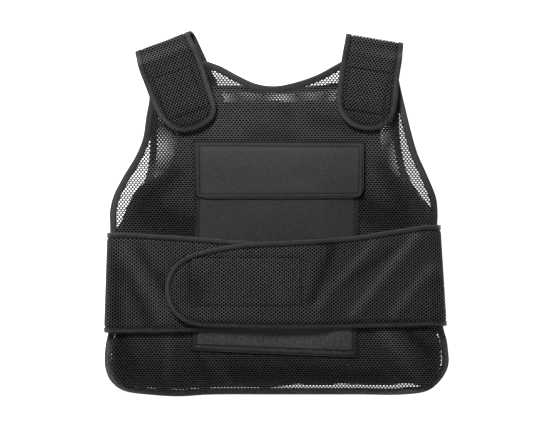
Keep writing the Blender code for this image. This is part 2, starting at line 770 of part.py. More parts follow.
# Straps
def strap_place(strap, cover):
    """Places a pattern point of a strap: x across, y along, 0 at the fold, positive down the front."""
    quarter = FOLD_RADIUS * math.pi / 2
    rear_z = STRAP_FLOOR + STRAP_BINDING["thick"] / 2
    centre_z = rear_z + FOLD_RADIUS
    front_turn, rear_turn = math.radians(strap["front_lean"]), math.radians(strap["rear_lean"])
    fold, rear_fold = Vector(strap["fold"]), Vector(strap["rear_fold"])

    def plan(across, reach, share):
        turn = mix(rear_turn, front_turn, share)
        start = rear_fold.lerp(fold, share)
        side = Vector((math.cos(turn), math.sin(turn)))
        down = Vector((math.sin(turn), -math.cos(turn)))
        return start + side * across + down * reach

    def place(p, height):
        offset = height - STRAP_THICK / 2
        along = p.y
        if abs(along) < quarter:
            angle = along / FOLD_RADIUS
            radius = FOLD_RADIUS + offset
            at = plan(p.x, FOLD_RADIUS - radius * math.cos(angle), 0.5 + 0.5 * math.sin(angle))
            return (at.x, at.y, centre_z + radius * math.sin(angle))
        reach = abs(along) - quarter + FOLD_RADIUS
        if along < 0:
            at = plan(p.x, reach, 0.0)
            return (at.x, at.y, rear_z - offset)
        at = plan(p.x, reach, 1.0)
        resting = cover(at.x, at.y) + STRAP_CLEAR + STRAP_THICK / 2
        share = smooth((reach - FOLD_RADIUS) / STRAP_RISE)
        return (at.x, at.y, mix(centre_z + FOLD_RADIUS, resting, share) + offset)

    return place


def build_strap(strap, cover, materials):
    name = strap["name"]
    place = strap_place(strap, cover)
    extra = FOLD_RADIUS * (math.pi / 2 - 1)
    rear = -(STRAP_REAR + extra)
    first = strap["sections"][0]
    turns = [FOLD_RADIUS * math.pi * (i / 6 - 0.5) for i in range(7)]
    stops = [rear, rear * 0.6, *turns]
    left = [(s.left, s.q + extra) for s in strap["sections"][1:]]
    right = [(s.right, s.q + extra) for s in strap["sections"][1:]]
    start_left, start_right = (first.left, turns[-1]), (first.right, turns[-1])
    edge = curve_through([start_left, *left, *right[::-1], start_right])
    front_end = strap["sections"][-1].q
    rear_left = [Vector((first.left, y)) for y in stops[:-1]]
    rear_right = [Vector((first.right, y)) for y in stops[-2::-1]]
    path = (rear_left + thinned(edge, CHORD_ERROR, STRAP_COLUMN) + rear_right)[::-1]
    tape = materials["binding_tape"]
    binding(f"{name}_binding", path, False, place, STRAP_THICK / 2, STRAP_BINDING, tape)
    normals = inward_normals(path, False)
    inner = [p + n * (STRAP_BINDING["width"] + GAP) for p, n in zip(path, normals)]
    (x0, y0), (x1, y1) = strap["hook"]["low"], strap["hook"]["high"]
    hook = rectangle((x0, y0 + extra), (x1, y1 + extra))
    loops = [inner, hook]
    rise_end = turns[-1] + STRAP_RISE
    rows = [*stops, mix(turns[-1], rise_end, 0.5), rise_end]
    while rows[-1] + STRAP_COLUMN < front_end:
        rows.append(rows[-1] + STRAP_COLUMN)
    spots = [Vector((x, y)) for y in rows for x in STRAP_ROW]
    clear = [p for p in spots if inside(inner, p) and all(loop_distance(l, p) > EDGE_CLEAR for l in loops)]
    rear_spots = [p for p in spots if p.y == rear]
    points, owned = triangulate(loops, clear + rear_spots)
    cloth = [t for t, o in owned]
    layer(f"{name}_mesh", points, cloth, place, steady(0), steady(STRAP_THICK), materials["mesh_cloth"])
    hook_patch(f"{name}_hook_patch", points, [t for t, o in owned if 1 in o], place, materials)


def make_materials():
    made = {}
    for name, look in MATERIALS.items():
        material = bpy.data.materials.new(name)
        material.use_nodes = True
        shader = material.node_tree.nodes["Principled BSDF"]
        shader.inputs["Base Color"].default_value = look.colour
        shader.inputs["Roughness"].default_value = look.roughness
        shader.inputs["Metallic"].default_value = 0.0
        made[name] = material
    return made


def main():
    for obj in list(bpy.data.objects):
        bpy.data.objects.remove(obj)
    materials = make_materials()
    build_back(materials)
    front_insert = build_front(materials)
    cover = cover_of_front(front_insert)
    build_belts(cover, materials)
    for strap in (LEFT_STRAP, RIGHT_STRAP):
        build_strap(strap, cover, materials)


main()
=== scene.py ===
import math

import bpy
import numpy as np
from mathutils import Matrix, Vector
from mathutils.geometry import delaunay_2d_cdt


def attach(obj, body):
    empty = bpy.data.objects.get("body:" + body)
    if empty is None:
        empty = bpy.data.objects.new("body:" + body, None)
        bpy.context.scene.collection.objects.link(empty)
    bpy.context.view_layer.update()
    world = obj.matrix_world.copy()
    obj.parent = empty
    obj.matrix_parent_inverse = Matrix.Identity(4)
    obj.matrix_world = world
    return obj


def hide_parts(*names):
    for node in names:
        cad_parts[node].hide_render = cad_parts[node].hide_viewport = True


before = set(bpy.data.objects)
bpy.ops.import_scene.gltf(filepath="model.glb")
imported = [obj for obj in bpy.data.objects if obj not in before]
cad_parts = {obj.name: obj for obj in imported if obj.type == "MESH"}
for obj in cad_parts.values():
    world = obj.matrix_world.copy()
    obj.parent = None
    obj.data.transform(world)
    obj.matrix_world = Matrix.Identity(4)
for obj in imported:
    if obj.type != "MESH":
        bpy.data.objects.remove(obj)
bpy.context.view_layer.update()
scene = bpy.context.scene
mm = 0.001

# Flat patterns and heights are worked out in millimetres, and become metres when a mesh is made.
vest = {
    "halfWidth": 258.0, "archPower": 3.0, "frontFloor": 10.2,
    "sideRise": 20.0, "sideRiseFrom": 110.0,
    "shoulderLift": 4.0, "shoulderFrom": 95.0, "shoulderTo": 142.0,
    "crownY": [-275, -240, -190, -110, -20, 60, 130, 180, 240],
    "crownHeight": [12, 24, 33, 38, 37, 29, 15, 7, 3],
}
curveLevels = (((0, 1), (1, 2), (2, 3)), ((0, 2), (1, 3)), ((1, 2),))  # pairs of knots to blend between


# Small maths
def ramp(value):
    t = np.clip(value, 0, 1)
    return t * t * (3 - 2 * t)


def between(value, start, end):
    # smoothly from 0 at start to 1 at end, which may lie on either side
    return ramp((value - start) / (end - start))


def mixed(a, b, share):
    return a + (b - a) * share


def hump(value):
    return np.exp(-value * value)


def steady(value):
    return lambda x, y: np.full(np.shape(x), float(value))


def smoothLine(rows, step=4.0):
    # points at about every step on a smooth curve through the rows; two rows make a straight line
    rows = [Vector(r) for r in rows]
    if len(rows) == 2:
        count = max(1, math.ceil((rows[1] - rows[0]).length / step))
        return np.array([rows[0].lerp(rows[1], i / count) for i in range(count + 1)])
    ends = [2 * rows[0] - rows[1], *rows, 2 * rows[-1] - rows[-2]]
    found = []
    for spots in zip(ends, ends[1:], ends[2:], ends[3:]):
        knots = [0.0]
        for a, b in zip(spots, spots[1:]):
            knots.append(knots[-1] + max((b - a).length, 1e-6) ** 0.5)
        count = max(1, round((spots[2] - spots[1]).length / step))
        for i in range(count):
            t = knots[1] + (knots[2] - knots[1]) * i / count
            blend = spots
            for pairs in curveLevels:
                ranges = [(knots[p], knots[q]) for p, q in pairs]
                blend = [
                    a * ((stop - t) / (stop - start)) + b * ((t - start) / (stop - start))
                    for a, b, (start, stop) in zip(blend, blend[1:], ranges)
                ]
            found.append(blend[0])
    found.append(rows[-1])
    return np.array(found)


def segmentDistance(x, y, a, b):
    ax, ay, bx, by = a[0], a[1], b[0], b[1]
    long = max((bx - ax) ** 2 + (by - ay) ** 2, 1e-9)
    share = np.clip(((x - ax) * (bx - ax) + (y - ay) * (by - ay)) / long, 0, 1)
    return np.hypot(x - ax - share * (bx - ax), y - ay - share * (by - ay))


def pathDistance(path, x, y, closed=True):
    nearest = np.full(np.shape(x), 1e9)
    pairs = zip(path, following(path)) if closed else zip(path[:-1], path[1:])
    for a, b in pairs:
        nearest = np.minimum(nearest, segmentDistance(x, y, a, b))
    return nearest


def paired(*parts):
    # columns side by side: one point a row
    return np.stack(np.broadcast_arrays(*parts), axis=1)


def following(path):
    return np.roll(path, -1, axis=0)


def crossed(a, b):
    return a[:, 0] * b[:, 1] - a[:, 1] * b[:, 0]


def fromSpot(points, spot):
    return np.linalg.norm(points - spot, axis=1)


def runLength(path):
    steps = np.linalg.norm(np.diff(path, axis=0), axis=1)
    return np.concatenate([[0], np.cumsum(steps)])


def looped(path):
    return np.vstack([path, path[:1]])


def insideLoop(loop, x, y):
    odd = np.zeros(np.shape(x), bool)
    for a, b in zip(loop, following(loop)):
        if a[1] != b[1]:
            odd ^= ((a[1] > y) != (b[1] > y)) & (x < a[0] + (y - a[1]) / (b[1] - a[1]) * (b[0] - a[0]))
    return odd


def unit(rows):
    return rows / np.maximum(np.linalg.norm(rows, axis=1, keepdims=True), 1e-9)


def leftNormals(path, closed):
    # mitred directions to the left of the path
    path = np.asarray(path, float)
    ahead = following(path) - path
    if not closed:
        ahead[-1] = ahead[-2]
    ahead = unit(ahead)
    behind = np.roll(ahead, 1, axis=0)
    if not closed:
        behind[0] = ahead[0]
    left = paired(-ahead[:, 1], ahead[:, 0])
    total = unit(left + paired(-behind[:, 1], behind[:, 0]))
    sharpest = 0.35
    return total / np.maximum((total * left).sum(1, keepdims=True), sharpest)


def moved(path, distance, closed=True):
    return path + leftNormals(path, closed) * distance


def shrunk(loop, distance):
    # a clean inset loop: points that fold over near corners go, and it starts on a straight run
    spots = moved(loop, distance)
    spots = spots[pathDistance(loop, spots[:, 0], spots[:, 1]) > distance * 0.97]
    bend = np.abs(crossed(spots - np.roll(spots, 1, axis=0), following(spots) - spots))
    bend += np.roll(bend, 1) + np.roll(bend, -1) + np.roll(bend, 2) + np.roll(bend, -2)
    return np.roll(spots, -int(bend.argmin()), axis=0)


def counterclockwise(loop):
    return loop if crossed(loop, following(loop)).sum() > 0 else loop[::-1]


def joinedLoop(stretches, step=4.0, cornerClear=12.0):
    # smooth stretches end to end; points too near a sharp corner are left out, so the inside stays clean
    loop = []
    for rows in stretches:
        path = smoothLine(rows, step)
        fromEnds = np.minimum(fromSpot(path, path[0]), fromSpot(path, path[-1]))
        loop += [path[0]] + [p for p, d in zip(path, fromEnds) if d > cornerClear]
    return counterclockwise(np.array(loop))


# Outlines of the panels
outlines = {
    "lowerBody": [
        (240.5, -16), (240, -40), (243.5, -90), (247.5, -150), (250, -172), (255, -190), (257, -206),
        (258, -222), (255, -234), (244, -251), (226, -265), (190, -270.8), (120, -271.2), (0, -271.2),
        (-100, -271.5), (-145, -274), (-186, -271.5), (-229.5, -264.4), (-248, -250), (-256, -230),
        (-256.5, -208), (-254.5, -192), (-251, -176), (-250.5, -150), (-248, -80), (-248.5, -22),
    ],
    "frontRight": [
        (180, 222), (184.5, 195), (193, 157), (202.5, 118), (211.5, 88), (224, 60), (238.5, 24), (241, 2),
    ],
    "frontLeft": [
        (-248.5, 5), (-243, 27), (-228, 56), (-210, 86), (-199.5, 112), (-194.5, 145), (-190, 172),
        (-190, 203),
    ],
    "frontNeck": [
        (-106, 229), (-84, 221), (-57, 206.5), (-30, 194.5), (-3, 191), (24, 195.5), (60, 207.5),
        (87, 222), (111, 235.5),
    ],
    "backRight": [
        (181, 198), (184, 165), (184.5, 126), (188, 95), (194, 68), (204, 45), (217.5, 24), (232, 6),
    ],
    "backLeft": [
        (-231, -9), (-217.5, 9), (-204, 33), (-195, 58), (-190.5, 85), (-189, 126), (-188, 186),
    ],
    "backNeck": [(-188, 186), (-90, 191.5), (0, 191), (60, 192), (95, 197), (181, 198)],
    "backSetIn": 6.0, "backHemSetIn": 11.0,
    "clothSetIn": 8.8,
}
insertCut = {
    "frontSetIn": 13.5, "frontHemSetIn": -2.2, "frontRightHem": 4.6,
    "backSetIn": 18.5, "backHemSetIn": 11.0,
    "top": 168.0, "corner": 12.0, "low": 1.3, "high": 7.6,
    "frontRight": [(157, 158), (157, 98), (164, 78), (175, 60), (190, 50), (206, 32), (222, 10)],
    "frontLeft": [
        (-221, 13), (-206, 37), (-190, 51), (-172, 58), (-158, 75), (-150, 98), (-147, 125), (-146, 158),
    ],
    "backRight": [(157, 155), (157, 98), (164, 78), (174, 58), (188, 38), (204, 13)],
    "backLeft": [
        (-204, -4), (-190, 24), (-181, 47), (-167, 60), (-156, 78), (-150, 98), (-147, 125), (-146, 155),
    ],
}


def lowerBody(setIn, hemSetIn=0.0, rightHem=0.0):
    # hemSetIn is added towards the hem, and rightHem along its right half
    path = smoothLine(outlines["lowerBody"], 8.0)[::-1]
    x, y = path[:, 0], path[:, 1]
    amount = setIn + hemSetIn * between(y, -165, -190)
    amount += rightHem * between(x, -10, 40) * between(x, 225, 205) * between(y, -240, -252)
    if rightHem:
        # the insert's edge runs a little unevenly under the tape, so light shows past it in places
        amount += 0.8 * np.sin(x / 13) + 0.5 * np.sin(x / 5 + y / 9)
        covered = hump((y + 197) / 7) + between(y, -237, -243)
        amount -= 1.8 * between(np.abs(x), 205, 215) * covered
    return [tuple(p) for p in (path + leftNormals(path, False) * amount[:, None])[::-1]]


def insertLoop(side):
    right, left = insertCut[side + "Right"], insertCut[side + "Left"]
    lower = lowerBody(insertCut[side + "SetIn"], insertCut[side + "HemSetIn"],
                      insertCut.get(side + "RightHem", 0.0))
    body = right + [p for p in lower if p[1] < -30] + left
    topLeft = (left[-1][0] + insertCut["corner"], insertCut["top"])
    topRight = (right[0][0] - insertCut["corner"], insertCut["top"])
    return joinedLoop([body, [left[-1], topLeft], [topLeft, topRight], [topRight, right[0]]], 5.0, 3.0)


frontBody = outlines["frontRight"] + outlines["lowerBody"] + outlines["frontLeft"]
frontNeck = outlines["frontNeck"]
frontOutline = joinedLoop([
    frontBody, [frontBody[-1], frontNeck[0]], frontNeck, [frontNeck[-1], frontBody[0]],
])
backLower = lowerBody(outlines["backSetIn"], outlines["backHemSetIn"])[1:-1]
backOutline = joinedLoop([outlines["backRight"] + backLower + outlines["backLeft"], outlines["backNeck"]])
frontInsert, backInsert = insertLoop("front"), insertLoop("back")


# Surfaces on which everything lies
def crownTable():
    # a smooth curve through the crown's heights, at every millimetre of y
    ys, heights = np.array(vest["crownY"], float), np.array(vest["crownHeight"], float)
    slopes = np.gradient(heights, ys)
    slopes[1:-1] = (heights[2:] - heights[:-2]) / (ys[2:] - ys[:-2])
    fineY = np.arange(ys[0], ys[-1] + 1)
    i = np.clip(np.searchsorted(ys, fineY, side="right") - 1, 0, len(ys) - 2)
    span = ys[i + 1] - ys[i]
    t = np.clip((fineY - ys[i]) / span, 0, 1)
    fromA = heights[i] * (2 * t**3 - 3 * t**2 + 1) + slopes[i] * span * (t**3 - 2 * t**2 + t)
    fromB = heights[i + 1] * (3 * t**2 - 2 * t**3) + slopes[i + 1] * span * (t**3 - t**2)
    return fineY, fromA + fromB


crownY, crownZ = crownTable()

# Soft dents and ridges of the front panel: x and y of both ends, height, half width
frontDents = [
    (-189, -2, -122, -25, -1.3, 22), (118, 13, 178, -17, -1.3, 22), (-150, 140, -60, 118, 0.7, 16),
    (20, 150, 120, 128, -0.5, 14), (-110, 122, 40, 114, -0.4, 9), (-190, 20, -150, 60, -0.8, 14),
    (190, 10, 160, 70, -0.7, 14), (160, -180, 214, -244, 1.8, 11), (-160, -179, -162, -242, 1.3, 8),
    (-238, -182, -222, -227, -1.5, 11), (-60, -238, 150, -242, -0.8, 12), (60, -216, 150, -228, 0.7, 9),
    (-120, -200, -100, -250, -0.6, 8), (30, 160, 40, 118, 0.4, 12), (-128, -186, -70, -250, 0.7, 7),
    (198, -180, 226, -205, -0.9, 9),
]


def creased(rows, x, y):
    total = np.zeros(np.shape(x))
    for x1, y1, x2, y2, height, reach in rows:
        total = total + height * hump(segmentDistance(x, y, (x1, y1), (x2, y2)) / reach)
    return total


def rumpled(x, y, seed, longest, shortest, count=9):
    # gentle unevenness: waves of random direction and phase, within -1 and 1
    random = np.random.default_rng(seed)
    total = np.zeros(np.shape(x))
    for i in range(count):
        length = random.uniform(shortest, longest)
        turn, phase = random.uniform(0, math.pi), random.uniform(0, 2 * math.pi)
        total = total + np.sin((x * math.cos(turn) + y * math.sin(turn)) * 2 * math.pi / length + phase)
    return total / count ** 0.5 / 1.5


def lieOfBack(x, y):
    side = between(np.abs(x), vest["sideRiseFrom"], vest["halfWidth"])
    shoulder = between(y, vest["shoulderFrom"], vest["shoulderTo"])
    return vest["sideRise"] * side + vest["shoulderLift"] * shoulder


def lieOfFront(x, y):
    arch = 1 - np.minimum(np.abs(x) / vest["halfWidth"], 1) ** vest["archPower"]
    crown = np.interp(y, crownY, crownZ) * arch
    dents = (creased(frontDents, x, y) + 0.35 * rumpled(x, y, 4, 150, 60)) * between(crown, 4, 18)
    return vest["frontFloor"] + lieOfBack(x, y) + crown + dents


fieldStep = 2.0
fieldX = np.arange(-300, 301, fieldStep)
fieldY = np.arange(-310, 311, fieldStep)
gridX, gridY = np.meshgrid(fieldX, fieldY)


def sampled(field, x, y):
    u = np.clip((x - fieldX[0]) / fieldStep, 0, len(fieldX) - 1.001)
    v = np.clip((y - fieldY[0]) / fieldStep, 0, len(fieldY) - 1.001)
    i, j = u.astype(int), v.astype(int)
    low = mixed(field[j, i], field[j, i + 1], u - i)
    high = mixed(field[j + 1, i], field[j + 1, i + 1], u - i)
    return mixed(low, high, v - j)


def tentField(insert, outline, reach):
    # 1 over the insert, falling to 0 at the sewn edge or at reach from the insert, softened
    fromInsert = pathDistance(insert, gridX, gridY)
    toEdge = pathDistance(outline, gridX, gridY) if outline is not None else reach
    share = 1 - fromInsert / np.maximum(np.minimum(reach, fromInsert + toEdge), 1e-6)
    share = np.where(insideLoop(insert, gridX, gridY), 1.0, np.clip(share, 0, 1))
    for axis in (0, 1, 0, 1, 0, 1):
        share = (np.roll(share, 1, axis) + np.roll(share, -1, axis) + 2 * share) / 4
    return share


print("surfaces: tents over the inserts")
frontShare = tentField(frontInsert, moved(frontOutline, outlines["clothSetIn"]), 25.0)
coverShare = tentField(frontInsert, None, 60.0)
backShare = tentField(backInsert, moved(backOutline, outlines["clothSetIn"]), 25.0)


def onBack(x, y, h):
    return x, y, lieOfBack(x, y) + h


def onFront(x, y, h):
    return x, y, lieOfFront(x, y) + h


def coverOfFront(x, y):
    # what straps and belts rest on
    return lieOfFront(x, y) + mixed(2.75, 9.6, sampled(coverShare, x, y))


# Cloth's height above the panel's lie: at the sewn edge, and over the insert
clothHeights = {
    "frontTop": (2.3, 9.6), "frontOuter": (1.8, 9.1), "frontInner": (0.5, 0.5),
    "backInner": (3.15, 9.1), "backOuter": (1.85, 0.5),
}


def clothHeight(name):
    share = frontShare if name.startswith("front") else backShare
    return lambda x, y: mixed(*clothHeights[name], sampled(share, x, y))


frontTop = clothHeight("frontTop")

# Painted light and shade, with a few plain tones: what the cloth's colour is multiplied by
shades = {
    # panel: painted shade towards the hem and painted light towards the neck, following the crown's slope
    "panelY": [-275, -235, -205, -175, -60, 40, 100, 200],
    "panelTone": [0.42, 0.30, 0.5, 0.74, 0.66, 0.72, 1.1, 1.2],
    # pocket: painted light towards its bottom, which slopes away from the key light
    "pocketY": [-215, -165, -40, 30, 70], "pocketTone": [2.15, 2.1, 0.78, 0.78, 0.85],
    # tape: painted light on the panels' tape towards the hem, which slopes away from the key light
    "tapeY": [-280, -240, -190, 0, 260], "tapeTone": [3.7, 3.3, 2.1, 1.05, 0.9],
    # strap: darker towards the strap's free end
    "strapY": [-120, 0, 60, 110, 150], "strapTone": [0.95, 0.95, 0.85, 0.7, 0.45],
    # tape seam: painted shade at the tape's sewn inner edge; strap tape: a darker tone; inside: painted
    # shade on the inner and back layers of net
    "tapeSeam": 1.7, "tapeSeamTone": 0.4, "strapTape": 0.75, "inside": 0.35,
    # sewn edge: painted shadow round the pocket and flap; stitched: painted shade along their stitch lines
    "sewnEdge": 0.75, "sewnEdgeReach": 2.6, "stitched": 0.65, "stitchedReach": 1.6,
    # ridge: painted highlight on raised folds; valley: painted shade in dents
    "ridge": 0.25, "valley": 0.42, "panelRelief": 2.2,
}
evenShade = steady(1)


def toneAlong(key):
    return lambda x, y: np.interp(y, shades[key + "Y"], shades[key + "Tone"])


def reliefTone(height):
    # painted highlight on raised folds, and painted shade in dents
    return 1 + shades["ridge"] * np.maximum(height, 0) + shades["valley"] * np.minimum(height, 0)


def panelShade(x, y):
    # painted shade: darker at the lower corners, above the belts' ends and off the insert, a painted shadow
    # at the pocket's and flap's sewn edges, and painted light and shade along y and on the dents
    tone = toneAlong("panel")(x, y)
    tone = tone * (1 - 0.3 * between(np.abs(x), 200, 230) * between(y, -150, -190))
    tone = tone * (1 - 0.2 * between(np.abs(x), 150, 190) * between(np.abs(y), 60, 30))
    # painted shade on the threads off the insert
    tone = tone * mixed(0.25, 1.0, ramp(sampled(frontShare, x, y) * 2))
    # a painted shadow round the pocket and flap
    sewn = np.minimum(pathDistance(flap["loop"], x, y), pathDistance(pocket["loop"], x, y))
    tone = tone * (1 - shades["sewnEdge"] * hump(sewn / shades["sewnEdgeReach"]))
    return np.clip(tone * reliefTone(shades["panelRelief"] * creased(frontDents, x, y)), 0.12, 1.6)


# Mesh making
def newObject(name, data):
    piece = bpy.data.objects.new(name, data)
    scene.collection.objects.link(piece)
    return piece


def meshObject(name, verts, faces, flat, finish, sharp, tones):
    mesh = bpy.data.meshes.new(name)
    mesh.from_pydata(np.asarray(verts) * mm, [], faces)
    addMaps(mesh, flat, tones)
    mesh.materials.append(materials[finish])
    mesh.shade_smooth()
    mesh.set_sharp_from_angle(angle=math.radians(sharp))
    return newObject(name, mesh)


def addMaps(mesh, flat, tones):
    # the flat pattern's own coordinates, in metres, so a weave follows the cloth; and the cloth's painted
    # light and shade, with a few plain tones
    uvMap = mesh.uv_layers.new(name="flat")
    corners = np.empty(len(mesh.loops), int)
    mesh.loops.foreach_get("vertex_index", corners)
    uvMap.data.foreach_set("uv", (np.asarray(flat, float)[corners] * mm).astype(np.float32).ravel())
    shade = mesh.attributes.new("shade", "FLOAT", "POINT")
    shade.data.foreach_set("value", np.asarray(tones, np.float32))


def netArea(mesh):
    areas = np.empty(len(mesh.polygons))
    mesh.polygons.foreach_get("area", areas)
    return float(areas.sum()) / 2


def flatCut(loops, spacing, clear=0.45, extra=()):
    # triangles inside the first loop, each with the number of loops that hold it
    xs, ys = loops[0][:, 0], loops[0][:, 1]
    rowStep = spacing * math.sqrt(3) / 2
    rows = np.arange(math.floor(ys.min() / rowStep), math.ceil(ys.max() / rowStep) + 1)
    columns = np.arange(math.floor(xs.min() / spacing), math.ceil(xs.max() / spacing) + 1)
    spotX = (columns[None, :] + 0.5 * (rows[:, None] % 2)).ravel() * spacing
    spotY = np.repeat(rows * rowStep, len(columns))
    keep = insideLoop(loops[0], spotX, spotY)
    verts, faces = [], []
    for loop in loops:
        keep &= pathDistance(loop, spotX, spotY) > spacing * clear
        faces.append(list(range(len(verts), len(verts) + len(loop))))
        verts.extend(Vector(p) for p in loop)
    verts.extend(Vector(p) for p in paired(spotX[keep], spotY[keep]))
    verts.extend(Vector(p) for p in extra)
    points, _, triangles, _, _, owners = delaunay_2d_cdt(verts, [], faces, 1, 1e-3, True)
    return np.array(points), [(t, len(set(o))) for t, o in zip(triangles, owners) if 0 in o]


def clothSolid(name, cut, place, low, high, finish, sharp=40.0, shade=evenShade, loopsOver=1):
    # the triangles that enough loops hold, at two heights and closed at the rim
    points, counted = cut
    triangles = [t for t, loops in counted if loops >= loopsOver]
    used = sorted({i for t in triangles for i in t})
    index = {v: i for i, v in enumerate(used)}
    flat = points[used]
    x, y = flat[:, 0], flat[:, 1]
    bottom, top = paired(*place(x, y, low(x, y))), paired(*place(x, y, high(x, y)))
    count = len(used)
    faces = [[index[v] for v in reversed(t)] for t in triangles]
    faces += [[index[v] + count for v in t] for t in triangles]
    directed = {(t[i], t[(i + 1) % 3]) for t in triangles for i in range(3)}
    for a, b in sorted(directed):
        if (b, a) not in directed:
            faces.append([index[a], index[b], index[b] + count, index[a] + count])
    tones = np.tile(shade(x, y), 2)
    return meshObject(name, np.vstack([bottom, top]), faces, np.vstack([flat, flat]), finish, sharp, tones)


def sweptBand(name, path, closed, place, mid, section, shade):
    # a tape folded over an edge: the section's rows are (inwards, height) from the path at height mid
    normals, along, girth = leftNormals(path, closed), runLength(path), runLength(section)
    sides, stations = len(section), len(path)
    verts, flat = np.empty((stations, sides, 3)), np.empty((stations, sides, 2))
    for k, (inwards, height) in enumerate(section):
        spots = path + normals * inwards
        x, y = spots[:, 0], spots[:, 1]
        verts[:, k] = paired(*place(x, y, np.full(stations, mid + height)))
        flat[:, k, 0], flat[:, k, 1] = along, girth[k]
    faces = []
    for i in range(stations if closed else stations - 1):
        j = (i + 1) % stations
        for k in range(sides):
            m = (k + 1) % sides
            faces.append([i * sides + k, i * sides + m, j * sides + m, j * sides + k])
    if not closed:
        faces.append(list(reversed(range(sides))))
        faces.append([(stations - 1) * sides + k for k in range(sides)])
    # painted shade on the tape's rows at its sewn inner edge, times the painted light and shade along the
    # path
    sewn = np.where(section[:, 0] > section[:, 0].max() - shades["tapeSeam"], shades["tapeSeamTone"], 1.0)
    tones = np.outer(shade(path[:, 0], path[:, 1]), sewn).ravel()
    return meshObject(name, verts.reshape(-1, 3), faces, flat.reshape(-1, 2), "bindingTape", 60.0, tones)


def tapeSection(make):
    # a round nose at the cloth's edge, a flat top that dips a little at the seam, a rolled inner edge
    width, half = make["binding"], make["bindingThick"] / 2
    upper = [
        (0.0, 0.0), (0.12, 0.42 * half), (0.55, 0.8 * half), (1.3, half), (3.0, 1.06 * half),
        (width * 0.55, 1.05 * half), (width - 2.4, 0.98 * half), (width - 1.5, 0.86 * half),
        (width - 0.8, 0.98 * half), (width - 0.15, 0.9 * half), (width, 0.62 * half),
    ]
    return np.array(upper + [(k, -h) for k, h in reversed(upper[1:])])


def tapeFlat(path, closed, section):
    # the sewn tape's own length and width, in metres; a sheet is at least 0.01 wide
    length = runLength(looped(path) if closed else path)[-1]
    width = runLength(looped(section))[-1] / 2
    return (float(length) * mm, max(float(width) * mm, 0.0102))


# Node trees
def connect(tree, node, inputs):
    # a node stands for its first output
    for socket, value in inputs.items():
        if isinstance(value, bpy.types.Node):
            value = value.outputs[0]
        if isinstance(value, bpy.types.NodeSocket):
            tree.links.new(value, node.inputs[socket])
        else:
            node.inputs[socket].default_value = value


def makers(tree):
    def add(kind, inputs=None, **settings):
        node = tree.nodes.new(kind)
        for key, value in settings.items():
            setattr(node, key, value)
        connect(tree, node, inputs or {})
        return node

    def calc(operation, a, b=0.0):
        return add("ShaderNodeMath", {0: a, 1: b}, operation=operation)

    return add, calc


def newTree(name, kind, inputs, outputs, outputKind="Float"):
    # a text as an input's value is its kind, and a number makes it a float
    tree = bpy.data.node_groups.new(name, kind)
    for label, value in inputs.items():
        plain = "Float" if isinstance(value, float) else value
        socket = tree.interface.new_socket(label, in_out="INPUT", socket_type="NodeSocket" + plain)
        if plain == "Float":
            socket.default_value = value
    for label in outputs:
        tree.interface.new_socket(label, in_out="OUTPUT", socket_type="NodeSocket" + outputKind)
    source, result = tree.nodes.new("NodeGroupInput"), tree.nodes.new("NodeGroupOutput")
    return tree, source.outputs, lambda values: connect(tree, result, values), *makers(tree)


def runTree(source, tree, values, name):
    modifier = source.modifiers.new(tree.name, "NODES")
    modifier.node_group = tree
    for item in tree.interface.items_tree:
        if item.item_type == "SOCKET" and item.in_out == "INPUT" and item.name in values:
            modifier[item.identifier] = values[item.name]
    mesh = bpy.data.meshes.new_from_object(source.evaluated_get(bpy.context.evaluated_depsgraph_get()))
    mesh.name = name
    old = source.data
    bpy.data.objects.remove(source)
    bpy.data.meshes.remove(old)
    return newObject(name, mesh)


def paintedGeometry(add, geometry, material):
    real = add("GeometryNodeRealizeInstances", {0: geometry})
    return add("GeometryNodeSetMaterial", {0: real, "Material": material})


